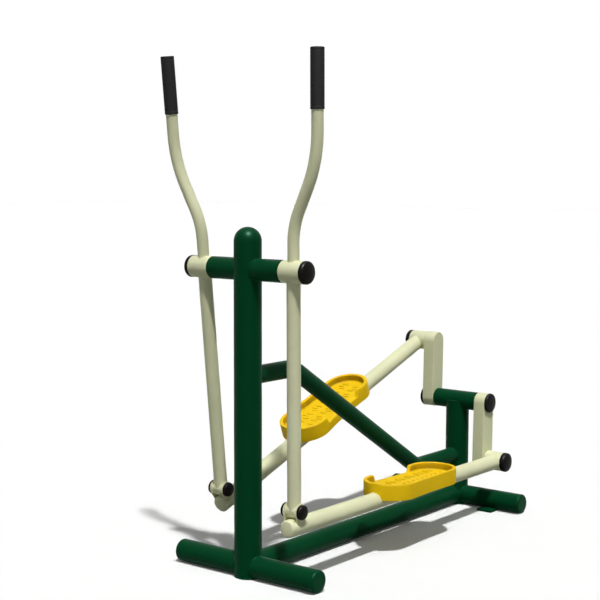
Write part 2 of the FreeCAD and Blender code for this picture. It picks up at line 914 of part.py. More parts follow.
def board_prism(heel, inset, z0, z1):
    """The footboard's outline, drawn in by some millimetres, as a prism."""
    toe = board_toe(heel) + inset
    end = -heel - inset
    waist = board_toe(heel) + board_waist_from_toe
    corners = [
        V(lever_x + board_outer_toe - inset, toe, z0),
        V(lever_x + board_outer_waist - inset, waist, z0),
        V(lever_x + board_outer_heel - inset, end, z0),
        V(lever_x - board_inner_heel + inset, end, z0),
        V(lever_x - board_inner_waist + inset, waist, z0),
        V(lever_x - board_inner_toe + inset, toe, z0),
    ]
    toe_r = board_toe_r - inset
    heel_r = board_heel_r - inset
    waist_r = board_waist_r + inset
    outline = rounded_outline(corners, [toe_r, waist_r, heel_r, heel_r, waist_r, toe_r])
    return Part.Face(outline).extrude(V(0, 0, z1 - z0))


def board_open_side(heel):
    """What is cut from the rim on the side of the frame."""
    toe = board_toe(heel)
    return box(0, lever_x - board_inner_waist / 2, toe + board_gap_start, toe + board_gap_end,
               board_floor_top, board_top_z)


def footboard(heel):
    """A moulded tray with a skirt that hangs over the bar and an open side."""
    rim = board_prism(heel, 0, board_bottom_z, board_top_z)
    rim = rim.cut(board_prism(heel, board_wall, board_bottom_z, board_top_z))
    top_edges = [e for e in rim.Edges if e.BoundBox.ZMin > board_top_z - flat_limit]
    rim = rim.makeFillet(board_rim_rounding, top_edges)
    rim = rim.cut(board_open_side(heel))
    body = rim.fuse(board_prism(heel, board_wall / 2, board_bottom_z, board_floor_top))
    body = body.cut(board_prism(heel, board_skirt_wall, board_bottom_z, board_floor_low))
    slot_r = bar_r + board_tube_gap
    slot = cylinder(slot_r, V(lever_x, 0, 0), V(lever_x, -FAR, 0))
    slot = slot.fuse(box(lever_x - slot_r, lever_x + slot_r, -FAR, 0, -bar_od, 0))
    body = body.cut(slot)
    for hole in board_bolt_places(heel):
        body = body.cut(cylinder(board_bolt_d / 2, hole, hole + Z_DIR * board_bolt_depth()))
    return body


def board_bolt_depth():
    return bracket_thickness + board_floor_thickness - board_bolt_cover


def board_bolt_places(heel):
    """Where the bolts enter the underside of the bracket."""
    middle = -heel - board_length / 2
    low = board_floor_low - bracket_thickness
    places = []
    for dx in (-board_bolt_x, board_bolt_x):
        for dy in (-board_bolt_pitch / 2, board_bolt_pitch / 2):
            places.append(V(lever_x + dx, middle + dy, low))
    return places


def footboard_bracket(heel):
    """A plate under the footboard on two webs that are welded to the bar."""
    middle = -heel - board_length / 2
    y0, y1 = middle - bracket_length / 2, middle + bracket_length / 2
    low = board_floor_low - bracket_thickness
    plate = box(lever_x - bracket_half_width, lever_x + bracket_half_width,
                y0, y1, low, board_floor_low)
    for side in (-1, 1):
        xs = sorted((side * bracket_web_x, side * (bracket_web_x + bracket_web_thickness)))
        plate = plate.fuse(box(lever_x + xs[0], lever_x + xs[1], y0, y1, bracket_web_low_z, low))
    plate = plate.cut(bar_space())
    for hole in board_bolt_places(heel):
        plate = plate.cut(cylinder(board_bolt_d / 2, hole, hole + Z_DIR * bracket_thickness))
    return plate


def footboard_bolts(heel):
    bolts = []
    for place in board_bolt_places(heel):
        shank = cylinder(board_bolt_d / 2, place, place + Z_DIR * board_bolt_depth())
        head = hex_x(board_bolt_flats, 0, board_bolt_head)
        head.rotate(ORIGIN, Y_DIR, -90)
        head.translate(place - Z_DIR * board_bolt_head)
        bolts.append(shank.fuse(head))
    return group(bolts)


def frame_nodes():
    return {
        "main_post": main_post(),
        "post_dome": post_dome(),
        "post_foot_discs": post_foot_discs(),
        "rear_post": rear_post(),
        "front_base_tubes": cross_stubs(0, front_base_half),
        "rear_base_tubes": cross_stubs(rear_y, rear_base_half),
        "base_tube_caps": base_tube_caps(),
        "long_base_tube": long_base_tube(),
        "ground_lugs": ground_lugs(),
        "brace_tube": brace_tube(),
        "shaft_housing": shaft_housing(),
        "housing_bearings": housing_bearings(),
        "pivot_bar": pivot_bar(),
        "pivot_axle": pivot_axle(),
        "axle_collars": axle_collars(),
        "axle_nuts": axle_nuts(),
    }


def crank_nodes():
    upright = {
        "crank_shaft": crank_shaft(),
        "right_crank_arm": crank_arm(),
        "left_crank_arm": left_arm(),
        "crank_keys": both_keys(),
        "crank_pins": group(at_pins(crank_pin())),
        "crank_pin_bearings": crank_pin_bearings(),
        "crank_nuts": crank_nuts(),
        "hub_caps": hub_caps(),
    }
    return {name: posed(shape, crank_lean_deg, rear_y, crank_z) for name, shape in upright.items()}


def lever_nodes(side, name, turn):
    pieces = {
        "lever_sleeve": lever_sleeve(),
        "lever_bearings": lever_bearings(),
        "handle_tube": handle_tube(),
        "lower_tube": lower_tube(),
        "foot_sleeve": foot_sleeve(),
        "foot_bearings": foot_bearings(),
        "grip": grip(),
        "lever_cap": lever_cap(),
    }
    return {f"{name}_{k}": posed(sided(s, side), turn, 0, pivot_z) for k, s in pieces.items()}


def pedal_nodes(side, name, turn, pin, heel, nose):
    pieces = {
        "pedal_tube": pedal_tube(nose),
        "pedal_tube_dome": pedal_tube_dome(nose),
        "foot_clevis": foot_clevis(),
        "foot_bolt": foot_bolt(),
        "foot_caps": foot_caps(),
        "crank_sleeve": crank_sleeve(),
        "crank_sleeve_cap": crank_sleeve_cap(),
        "footboard": footboard(heel),
        "footboard_bracket": footboard_bracket(heel),
        "footboard_bolts": footboard_bolts(heel),
    }
    return {f"{name}_{k}": posed(sided(s, side), turn, *pin) for k, s in pieces.items()}


def all_nodes():
    nodes = frame_nodes()
    nodes.update(crank_nodes())
    chain = linkage()
    sides = (
        (1, "right", right_board_heel, right_bar_nose),
        (-1, "left", left_board_heel, left_bar_nose),
    )
    for side, name, heel, nose in sides:
        lever_turn, foot, bar_turn, pin = chain[side]
        print(name, "lever turn", round(lever_turn, 4), "foot", [round(v, 3) for v in foot])
        print(name, "bar turn", round(bar_turn, 4), "pin", [round(v, 3) for v in pin])
        nodes.update(lever_nodes(side, name, lever_turn))
        nodes.update(pedal_nodes(side, name, bar_turn, pin, heel, nose))
    return nodes


def main():
    os.makedirs("parts", exist_ok=True)
    nodes = all_nodes()
    for name, shape in nodes.items():
        if not shape.isValid():
            print("not valid:", name)
        shape.exportStep(f"parts/{name}.step")
    print("nodes written:", len(nodes))


main()
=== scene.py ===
import json
from itertools import groupby
from math import atan2, cos, pi, radians, sin, sqrt, tan

import bmesh
import bpy
from bpy.props import FloatProperty, FloatVectorProperty, IntProperty, PointerProperty
from mathutils import Matrix, Vector


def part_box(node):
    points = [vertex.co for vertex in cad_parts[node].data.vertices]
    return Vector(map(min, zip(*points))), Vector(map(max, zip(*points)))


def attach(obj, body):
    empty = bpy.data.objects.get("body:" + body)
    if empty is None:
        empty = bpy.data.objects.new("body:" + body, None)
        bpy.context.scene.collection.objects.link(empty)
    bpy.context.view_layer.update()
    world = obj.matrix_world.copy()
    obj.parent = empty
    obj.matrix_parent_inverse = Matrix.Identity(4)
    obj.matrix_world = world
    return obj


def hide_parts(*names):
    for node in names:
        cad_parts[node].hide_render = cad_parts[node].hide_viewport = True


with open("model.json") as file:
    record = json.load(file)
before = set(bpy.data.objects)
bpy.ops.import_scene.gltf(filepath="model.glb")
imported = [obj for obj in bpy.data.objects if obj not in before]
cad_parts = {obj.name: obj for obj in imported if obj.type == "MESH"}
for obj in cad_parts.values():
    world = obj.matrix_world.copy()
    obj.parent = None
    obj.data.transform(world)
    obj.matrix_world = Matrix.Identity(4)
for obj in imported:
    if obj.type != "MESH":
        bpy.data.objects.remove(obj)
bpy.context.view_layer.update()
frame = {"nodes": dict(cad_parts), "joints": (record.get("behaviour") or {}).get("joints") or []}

bl_info = {
    "name": "Outdoor air walker",
    "version": (1, 0, 0),
    "blender": (4, 5, 0),
    "location": "View3D > Sidebar > Air walker",
    "description": "Caps, grips, footboards, weld beads, finishes and stage of an air walker",
    "category": "Object",
}

# Places that the frame gives. Metres, +X to the user's right, +Y to the cranks, +Z up.

SIDES = {"right": 1.0, "left": -1.0}
JOINT_AT = {joint["name"]: Vector(joint["pos_m"]) for joint in frame["joints"]}
X_DIR = Vector((1, 0, 0))
Y_DIR = Vector((0, 1, 0))
Z_DIR = Vector((0, 0, 1))


def box_size(node):
    """Width, depth and height of a CAD node at rest."""
    low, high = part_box(node)
    return high - low


def outer_x(node):
    """How far a right-hand node reaches outwards."""
    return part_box(node)[1].x


def inner_x(node):
    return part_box(node)[0].x


# The same lengths as in the part's source, for places that no box gives

BAR_REACH = 1.260
BAR_RISE = 0.0515
BAR_RADIUS = 0.0285
EAR_IN = 0.0226
EAR_OUT = 0.0266
EAR_BASE_HALF = 0.014
EAR_BASE_Z = 0.008
HANDLE_OFFSET = 0.094
HANDLE_TOP_Z = 0.676
HANDLE_RADIUS = 0.019
GRIP_TOP_WALL = 0.005
GRIP_LENGTH = 0.185
LOWER_TUBE_RADIUS = 0.02225
BRACE_TOP_Z = 0.654
BRACE_LOW_Z = 0.195
BRACE_RADIUS = 0.030
GROUND_CAP_PLUG = 0.012
GROUND_CAP_WIDTH = 0.010
TUBE_WALL = 0.003
SLEEVE_WALL = 0.005
FOOT_SLEEVE_WALL = 0.0025
FOOT_SLEEVE_RADIUS = 0.0225
FOOT_CAP_RADIUS = 0.0235
HUB_CAP_RADIUS = 0.0374
LUG_WIDTH = 0.062

LEVER_X = JOINT_AT["right_lever_swing"].x
POST_RADIUS = box_size("main_post").x / 2
STUB_RADIUS = box_size("front_base_tubes").z / 2
LONG_TUBE_RADIUS = box_size("long_base_tube").z / 2
SLEEVE_RADIUS = box_size("right_lever_sleeve").z / 2
CRANK_SLEEVE_RADIUS = box_size("right_crank_sleeve").z / 2
HOUSING_RADIUS = box_size("shaft_housing").z / 2
CROSS_BAR_RADIUS = box_size("pivot_bar").z / 2
REAR_Y = JOINT_AT["crank_turn"].y
CRANK_Z = JOINT_AT["crank_turn"].z
PIVOT_Z = JOINT_AT["right_lever_swing"].z

# Height of a black cap's straight rim and rise of its dome

LEVER_CAP = (0.008, 0.013)
SLEEVE_CAP = (0.011, 0.012)
FOOT_CAP = (0.0075, 0.009)
HUB_CAP = (0.0053, 0.0095)
CAP_FOOT_EDGE = 0.0005
CAP_SHOULDER_STEPS = 8
CAP_CROWN_STEPS = 14

# Rounding of the small edges that no setting changes

FOOT_SLEEVE_EDGE = 0.0012
BORE_EDGE = 0.0004
GROUND_CAP_EDGE = 0.007

# Half widths and lengths of the finer weld beads, the step along them and their crease angle

LEVER_BEAD = 0.0018
LEVER_FOOT_BEAD = 0.0014
BAR_BEAD = 0.0020
EAR_BEAD = 0.0017
INNER_EAR_BEAD = 0.0015
LUG_BEAD = 0.0020
LUG_BEAD_HALF = 0.029
EAR_CLEAR = 0.0175
BEAD_STEP = 0.0016
BEAD_CREASE = 60
HOUSING_BEAD_STEPS = 60

# Footboard, measured in the bar's own directions: along it from the crank pin, up from its middle

BOARD_HEEL = {"right": 0.390, "left": 0.425}
BOARD_LENGTH = 0.435
BOARD_WAIST = 0.230
BOARD_OUTER = (0.102, 0.090, 0.094)
BOARD_INNER = (0.099, 0.074, 0.084)
BOARD_TOE_R = 0.089
BOARD_WAIST_R = 1.2
BOARD_HEEL_R = 0.084
BOARD_WALL = 0.0130
BOARD_SKIRT_WALL = 0.006
BOARD_LOW = 0.005
BOARD_FLOOR_LOW = 0.032
BOARD_FLOOR = 0.036
BOARD_TOP = 0.060
BOARD_OPEN = (0.102, 0.320)
BOARD_RIM_DROP = 0.014
WALL_FILLET = 0.004
UNDER_FILLET = 0.003
ARC_STEPS = 5
OUTLINE_STEP = 0.0022
TREAD_ROWS = 6
TREAD_PITCH = 0.0585
TREAD_COLUMN = 0.0285
TREAD_SHIFT = 0.004
# Weight of the painted shade at the feet of the tread bars
TREAD_SHADE = 0.55
TREAD_CLUSTER = ((-0.006, -0.0155), (0.005, 0.0), (-0.004, 0.0155))


# Values a user would change

def number_prop(name, description, default, low, high, **kind):
    return FloatProperty(
        name=name, description=description, default=default, min=low, max=high, **kind)


def length_prop(name, description, default, low, high):
    return number_prop(
        name, description, default, low, high, subtype="DISTANCE", unit="LENGTH")


class WalkerShape(bpy.types.PropertyGroup):
    """Small forms that the CAD part leaves plain."""

    sleeve_rounding: length_prop(
        "Sleeve rounding", "Radius on the outer edges of the sleeves", 0.0030, 0.0005, 0.006)
    cap_shoulder: number_prop(
        "Cap shoulder", "Radius of a black cap's shoulder as a share of its dome's rise",
        0.62, 0.2, 0.85, subtype="FACTOR")
    grip_groove: length_prop(
        "Grip groove", "Depth of the groove near each end of a grip", 0.0006, 0.0, 0.0015)
    weld_radius: length_prop("Weld radius", "Half the width of a weld bead", 0.0024, 0.001, 0.006)
    weld_ripple: length_prop(
        "Weld ripple", "Distance from one ripple of a weld bead to the next", 0.0034, 0.002, 0.01)
    rim_rounding: length_prop(
        "Rim rounding", "Radius on the top of the footboard's rim", 0.0032, 0.001, 0.0055)
    tread_length: length_prop(
        "Tread length", "Length of a raised bar of the tread", 0.025, 0.01, 0.04)
    tread_width: length_prop(
        "Tread width", "Width of a raised bar of the tread", 0.0062, 0.002, 0.012)
    tread_height: length_prop(
        "Tread height", "How far a bar of the tread stands up", 0.0032, 0.0005, 0.004)
    round_steps: IntProperty(
        name="Round steps", description="Faces round a turned piece",
        default=96, min=24, max=192)


def colour_prop(name, description, default):
    return FloatVectorProperty(
        name=name, description=description, subtype="COLOR", size=3,
        min=0.0, max=1.0, default=default)


class WalkerColours(bpy.types.PropertyGroup):
    """Base colours of the finishes."""

    green: colour_prop("Green", "Powder coat of the frame", (0.0008, 0.0470, 0.0150))
    cream: colour_prop("Cream", "Powder coat of the moving tubes", (0.770, 0.780, 0.510))
    yellow: colour_prop("Yellow", "Moulded plastic of the footboards", (0.930, 0.605, 0.007))
    black: colour_prop("Black", "Gloss plastic of the caps", (0.0030, 0.0020, 0.0016))
    rubber: colour_prop("Rubber", "Rubber of the grips", (0.0100, 0.0100, 0.0105))
    steel: colour_prop("Steel", "Zinc-plated axles, bearings and nuts", (0.560, 0.570, 0.580))
    floor: colour_prop("Floor", "Studio floor", (0.960, 0.965, 0.960))


class WalkerStage(bpy.types.PropertyGroup):
    """Light and lens of the studio."""

    key_light: number_prop("Key light", "Strength of the high key light", 2.65, 0.0, 10.0)
    sky_light: number_prop("Sky light", "Strength of the even white surround", 0.22, 0.0, 4.0)
    key_softness: number_prop(
        "Key softness", "Apparent size of the key light", radians(2.7), 0.0, 1.0,
        subtype="ANGLE", unit="ROTATION")
    sheen_light: number_prop(
        "Sheen light", "Strength of the lamp that only shiny surfaces show", 30.0, 0.0, 60.0)
    lens: number_prop("Lens", "Focal length of the camera in millimetres", 80.09, 20.0, 200.0)


# Finishes

def node_tools(material):
    """Short calls that add and link shader nodes in one material or world."""
    tree = material.node_tree

    def add(kind, values=None, **settings):
        node = tree.nodes.new("ShaderNode" + kind)
        for key, value in settings.items():
            setattr(node, key, value)
        for key, value in (values or {}).items():
            node.inputs[key].default_value = value
        return node

    def link(source, target):
        tree.links.new(source, target)

    return add, link


def started_finish(name):
    """A new material with its shader and output, and the piece's own coordinates."""
    material = bpy.data.materials.new(name)
    material.use_nodes = True
    material.node_tree.nodes.clear()
    add, link = node_tools(material)
    shader = add("BsdfPrincipled")
    output = add("OutputMaterial")
    link(shader.outputs["BSDF"], output.inputs["Surface"])
    place = add("TexCoord").outputs["Object"]
    return material, shader, place


def noise(material, place, scale, detail=3.0, roughness=0.55, stretch=None):
    """A noise value that is fixed to the piece."""
    add, link = node_tools(material)
    texture = add("TexNoise", {"Scale": scale, "Detail": detail, "Roughness": roughness})
    if stretch:
        mapping = add("Mapping", {"Scale": stretch})
        link(place, mapping.inputs["Vector"])
        place = mapping.outputs["Vector"]
    link(place, texture.inputs["Vector"])
    return texture.outputs["Fac"]


def combined(holder, operation, first, second):
    """Two values put together by one math node; the second may be a plain number."""
    add, link = node_tools(holder)
    node = add("Math", operation=operation)
    link(first, node.inputs[0])
    if isinstance(second, bpy.types.NodeSocket):
        link(second, node.inputs[1])
    else:
        node.inputs[1].default_value = second
    return node.outputs["Value"]


def worn_edges(material, radius, wear, base, worn_colour):
    """The base colour, worn to another one along outer edges where the wear value is high."""
    worn = combined(material, "MULTIPLY", edge_mask(material, radius), wear)
    return mixed(material, worn, base, worn_colour)


def spread(material, value, low, high, start=0.3, end=0.7):
    """The value drawn out from one range to another."""
    add, link = node_tools(material)
    ranged = add("MapRange", {"From Min": start, "From Max": end, "To Min": low, "To Max": high})
    link(value, ranged.inputs["Value"])
    return ranged.outputs["Result"]


def mixed(material, factor, first, second):
    """A mix of two colours; each is a socket or a plain colour."""
    add, link = node_tools(material)
    mix = add("Mix", data_type="RGBA")
    link(factor, mix.inputs["Factor"])
    for key, colour in (("A", first), ("B", second)):
        socket = [s for s in mix.inputs if s.name == key and s.type == "RGBA"][0]
        if isinstance(colour, bpy.types.NodeSocket):
            link(colour, socket)
        else:
            socket.default_value = (*colour, 1.0)
    return [s for s in mix.outputs if s.type == "RGBA"][0]


def edge_mask(material, radius, start=0.03, end=0.35):
    """1 along outer edges and 0 on open faces: where a bevelled normal leaves the true one."""
    add, link = node_tools(material)
    bevel = add("Bevel", {"Radius": radius}, samples=4)
    true_normal = add("NewGeometry").outputs["Normal"]
    dot = add("VectorMath", operation="DOT_PRODUCT")
    link(bevel.outputs["Normal"], dot.inputs[0])
    link(true_normal, dot.inputs[1])
    return spread(material, dot.outputs["Value"], 1.0, 0.0, 1.0 - end, 1.0 - start)


def bumped(material, shader, layers, edge_radius=None):
    """Bump from several noise layers, over softly rounded edges where a radius is given."""
    add, link = node_tools(material)
    normal = None
    if edge_radius:
        normal = add("Bevel", {"Radius": edge_radius}, samples=4).outputs["Normal"]
    for height, strength, depth in layers:
        bump = add("Bump", {"Strength": strength, "Distance": depth})
        link(height, bump.inputs["Height"])
        if normal:
            link(normal, bump.inputs["Normal"])
        normal = bump.outputs["Normal"]
    link(normal, shader.inputs["Normal"])


def toned(colour, factor):
    return tuple(min(1.0, part * factor) for part in colour)


def clouded(material, cloud, colour, low, high):
    """A colour that drifts from one tone of itself to another."""
    drift = spread(material, cloud, 0.0, 1.0)
    return mixed(material, drift, toned(colour, low), toned(colour, high))


def surface(material, shader, base, roughness, gloss_level=0.5):
    """Gives the shader its base colour, its roughness and the strength of its gloss."""
    link = node_tools(material)[1]
    link(base, shader.inputs["Base Color"])
    link(roughness, shader.inputs["Roughness"])
    shader.inputs["Specular IOR Level"].default_value = gloss_level


def powder_coat(name, colour, worn_colour, gloss_level, gloss_tint):
    """Sprayed and baked paint on steel tube: orange peel, faint cloudiness, thin at the edges."""
    material, shader, place = started_finish(name)
    base = clouded(material, noise(material, place, 5.0, 4.0), colour, 0.94, 1.06)
    speckle = spread(material, noise(material, place, 420.0, 2.0), 0.0, 0.35, 0.35, 0.75)
    base = mixed(material, speckle, base, toned(colour, 1.16))
    rub = spread(material, noise(material, place, 34.0, 5.0), 0.0, 1.0, 0.46, 0.66)
    base = worn_edges(material, 0.0012, rub, base, worn_colour)
    gloss = spread(material, noise(material, place, 16.0, 3.0), 0.36, 0.44)
    surface(material, shader, base, gloss, gloss_level)
    shader.inputs["Specular Tint"].default_value = (*gloss_tint, 1.0)
    peel = noise(material, place, 240.0, 2.0, 0.4)
    drift = noise(material, place, 38.0, 2.0)
    bumped(material, shader, ((drift, 0.25, 0.0006), (peel, 0.35, 0.00012)), 0.0009)
    return material


def moulded_plastic(name, colour):
    """Through-coloured board plastic: fine grain, scuffed high edges, and painted shade in the
    tray's inner corners and at the feet of the tread bars.
    """
    material, shader, place = started_finish(name)
    flow = noise(material, place, 9.0, 4.0, 0.6, (1.0, 0.35, 1.0))
    base = clouded(material, flow, colour, 0.95, 1.05)
    scuff = noise(material, place, 60.0, 6.0, 0.7, (1.0, 0.3, 1.0))
    pale = tuple(part + (1.0 - part) * 0.35 for part in colour)
    base = worn_edges(material, 0.0016, spread(material, scuff, 0.0, 0.55, 0.5, 0.72), base, pale)
    add = node_tools(material)[0]
    # Painted shade: darkens the tray's inner corners and the feet of the tread bars by a per-point
    # weight, broken up a little by noise.
    corner_shade = add("Attribute", attribute_name="grime").outputs["Fac"]
    shade_breakup = spread(material, noise(material, place, 45.0, 5.0, 0.6), 0.75, 1.0)
    shade_weight = combined(material, "MULTIPLY", corner_shade, shade_breakup)
    base = mixed(material, shade_weight, base, toned(colour, 0.36))
    dull = spread(material, noise(material, place, 28.0, 4.0), 0.36, 0.52)
    surface(material, shader, base, dull, 0.03)
    grain = noise(material, place, 900.0, 3.0, 0.6)
    sink = noise(material, place, 22.0, 1.0)
    bumped(material, shader, ((sink, 0.2, 0.0008), (grain, 0.3, 0.00008)))
    return material


def gloss_cap(name, colour):
    """Pressed-in plastic cap: near black, with a soft gloss and faint handling marks."""
    material, shader, place = started_finish(name)
    haze = noise(material, place, 30.0, 5.0, 0.6)
    base = clouded(material, haze, colour, 0.85, 1.3)
    rub = spread(material, noise(material, place, 150.0, 4.0), 0.0, 0.5, 0.45, 0.7)
    base = worn_edges(material, 0.0010, rub, base, toned(colour, 5.0))
    surface(material, shader, base, spread(material, haze, 0.38, 0.48), 0.05)
    scratch = noise(material, place, 260.0, 4.0, 0.6, (1.0, 1.0, 0.12))
    bumped(material, shader, ((scratch, 0.12, 0.00006),))
    return material


def grip_rubber(name, colour):
    """Dense rubber: matt, finely pitted, paler along its edges."""
    material, shader, place = started_finish(name)
    cloud = noise(material, place, 24.0, 5.0, 0.6)
    base = clouded(material, cloud, colour, 0.85, 1.3)
    base = worn_edges(material, 0.0014, spread(material, cloud, 0.1, 0.5), base, toned(colour, 3.2))
    surface(material, shader, base, spread(material, cloud, 0.68, 0.84), 0.08)
    pits = noise(material, place, 700.0, 2.0, 0.5)
    bumped(material, shader, ((pits, 0.5, 0.00012),))
    return material


def zinc_steel(name, colour):
    """Zinc-plated turned steel, seen only in the gaps between moving pieces."""
    material, shader, place = started_finish(name)
    cloud = noise(material, place, 60.0, 4.0)
    base = clouded(material, cloud, colour, 0.82, 1.1)
    base = mixed(material, edge_mask(material, 0.0006), base, toned(colour, 1.35))
    surface(material, shader, base, spread(material, cloud, 0.28, 0.45))
    shader.inputs["Metallic"].default_value = 1.0
    turning = noise(material, place, 900.0, 2.0, 0.5, (1.0, 0.06, 0.06))
    bumped(material, shader, ((turning, 0.15, 0.00005),))
    return material


# For each of the record's slots: its maker, its colour setting and what else the maker takes

FINISHES = {
    "green_paint": (powder_coat, "green", (0.010, 0.105, 0.046), 0.035, (0.35, 1.0, 0.65)),
    "cream_paint": (powder_coat, "cream", (0.860, 0.860, 0.660), 0.06, (1.0, 0.97, 0.85)),
    "yellow_plastic": (moulded_plastic, "yellow"),
    "black_cap": (gloss_cap, "black"),
    "grip_rubber": (grip_rubber, "rubber"),
    "steel": (zinc_steel, "steel"),
}


def finish(slot):
    """The material of one of the record's slots, made at its first use."""
    name = slot + "_finish"
    if name in bpy.data.materials:
        return bpy.data.materials[name]
    make, colour, *settings = FINISHES[slot]
    return make(name, tuple(getattr(bpy.context.scene.walker_colours, colour)), *settings)


# Mesh helpers. A form is a pair (points, faces) in its own directions.

def joined(forms):
    """Several forms as one."""
    points, faces = [], []
    for form_points, form_faces in forms:
        first = len(points)
        points += form_points
        faces += [[first + k for k in face] for face in form_faces]
    return points, faces


def moved(form, matrix):
    """The form at a new place; its faces are turned over if the matrix mirrors it."""
    points, faces = form
    placed = [matrix @ Vector(point) for point in points]
    if matrix.determinant() < 0:
        faces = [list(reversed(face)) for face in faces]
    return placed, faces


def rounded_profile(corners, steps=5):
    """Points of a line whose corners (x, r, rounding) are turned into arcs."""
    points = []
    for k, (x, r, rounding) in enumerate(corners):
        here = Vector((x, r))
        if rounding <= 0 or k in (0, len(corners) - 1):
            points.append(here)
            continue
        way_in = (Vector(corners[k - 1][:2]) - here).normalized()
        way_out = (Vector(corners[k + 1][:2]) - here).normalized()
        half = way_in.angle(way_out) / 2
        reach = rounding / tan(half)
        centre = here + (way_in + way_out).normalized() * (rounding / sin(half))
        first = here + way_in * reach - centre
        last = here + way_out * reach - centre
        sweep = first.angle_signed(last)
        for step in range(steps + 1):
            turn = -sweep * step / steps
            points.append(centre + Matrix.Rotation(turn, 2) @ first)
    return points


def turned(profile, steps, closed=False):
    """A form turned about X from (x, r) points; r = 0 closes it in a point."""
    points, faces, rows = [], [], []
    for x, r in profile:
        if r < 1e-6:
            rows.append([len(points)] * steps)
            points.append((x, 0.0, 0.0))
            continue
        rows.append([len(points) + k for k in range(steps)])
        for k in range(steps):
            angle = 2 * pi * k / steps
            points.append((x, r * cos(angle), r * sin(angle)))
    pairs = list(zip(rows, rows[1:]))
    if closed:
        pairs.append((rows[-1], rows[0]))
    for here, there in pairs:
        for k in range(steps):
            corners = [here[k], here[k - 1], there[k - 1], there[k]]
            face = [c for n, c in enumerate(corners) if c not in corners[:n]]
            if len(face) > 2:
                faces.append(face)
    return points, faces


def in_scene(name, content):
    """A new object of the scene."""
    holder = bpy.data.objects.new(name, content)
    bpy.context.scene.collection.objects.link(holder)
    return holder


def add_piece(name, form, slot, body, replaces=(), place=None, crease_deg=38, grime=None):
    """Makes the object, gives it its finish and lets it ride on its body."""
    if place is not None:
        form = moved(form, place)
    points, faces = form
    mesh = bpy.data.meshes.new(name)
    mesh.from_pydata([tuple(point) for point in points], [], faces)
    work = bmesh.new()
    work.from_mesh(mesh)
    bmesh.ops.recalc_face_normals(work, faces=work.faces)
    work.to_mesh(mesh)
    work.free()
    mesh.polygons.foreach_set("use_smooth", [True] * len(mesh.polygons))
    mesh.set_sharp_from_angle(angle=radians(crease_deg))
    # The per-point weight of painted shade that the board material reads.
    if grime:
        mesh.attributes.new("grime", "FLOAT", "POINT").data.foreach_set("value", grime)
    mesh.materials.append(finish(slot))
    piece = in_scene(name, mesh)
    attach(piece, body)
    if replaces:
        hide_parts(*replaces)
    return piece


# Places of the moving pieces

def directions(out, back, up, origin):
    """A matrix whose axes point outwards, back and up."""
    matrix = Matrix((out, back, up)).transposed().to_4x4()
    matrix.translation = origin
    return matrix


def lever_place(side):
    """Directions of a lever: up its handle from the axle; x counts from the machine's middle."""
    pivot = JOINT_AT[side + "_lever_swing"]
    foot = JOINT_AT[side + "_pedal_hinge"]
    up = (pivot - foot).normalized()
    out = X_DIR * SIDES[side]
    return directions(out, up.cross(X_DIR), up, Vector((0, pivot.y, pivot.z)))


def lever_length(side):
    return (JOINT_AT[side + "_lever_swing"] - JOINT_AT[side + "_pedal_hinge"]).length


def bar_place(side):
    """Directions of a pedal bar: along it from the crank pin; x counts from the middle."""
    low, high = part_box(side + "_crank_sleeve")
    pin = (low + high) / 2
    foot = JOINT_AT[side + "_pedal_hinge"]
    seen = atan2(foot.z - pin.z, foot.y - pin.y)
    turn = seen - atan2(BAR_RISE, -BAR_REACH)
    back = Vector((0, cos(turn), sin(turn)))
    up = Vector((0, -sin(turn), cos(turn)))
    return directions(X_DIR * SIDES[side], back, up, Vector((0, pin.y, pin.z)))


def add_side_piece(side, piece, form, slot, body, node=None, **extra):
    """A piece of one side, given in the directions of the lever or pedal bar that it rides on."""
    place = lever_place(side) if body == "_lever" else bar_place(side)
    replaces = [side + node] if node else ()
    return add_piece(side + piece, form, slot, side + body, replaces, place, **extra)


def along_x(x, y=0.0, z=0.0, flip=False):
    """Moves a turned form out along X; flip points it inwards."""
    matrix = Matrix.Translation((x, y, z))
    if flip:
        matrix = matrix @ Matrix.Scale(-1, 4, X_DIR)
    return matrix


# Turned pieces

def sleeve_form(x0, x1, radius, wall, rounding, steps):
    """A plain sleeve whose outer edges are rounded and inner edges just broken."""
    bore = radius - wall
    start = (x0, (radius + bore) / 2, 0)
    profile = rounded_profile([
        start, (x0, radius, rounding), (x1, radius, rounding),
        (x1, bore, BORE_EDGE), (x0, bore, BORE_EDGE), start], 6)
    return turned(profile[:-1], steps, closed=True)


def cap_form(radius, rim, rise, shoulder, steps):
    """A pressed-in cap seated at x = 0: straight rim, rounded shoulder and a shallow dome."""
    inset = radius - shoulder
    crown_r = (inset ** 2 + rise ** 2 - shoulder ** 2) / (2 * (rise - shoulder))
    middle = rim + rise - crown_r
    lean = atan2(inset, rim - middle)
    edge = CAP_FOOT_EDGE
    profile = [Vector((0.0, 0.0)), Vector((0.0, radius - edge)), Vector((edge, radius))]
    for step in range(CAP_SHOULDER_STEPS + 1):
        angle = pi / 2 + (lean - pi / 2) * step / CAP_SHOULDER_STEPS
        along, out = shoulder * cos(angle), shoulder * sin(angle)
        profile.append(Vector((rim + along, inset + out)))
    for step in range(1, CAP_CROWN_STEPS + 1):
        angle = lean * (1 - step / CAP_CROWN_STEPS)
        profile.append(Vector((middle + crown_r * cos(angle), crown_r * sin(angle))))
    return turned(profile, steps)


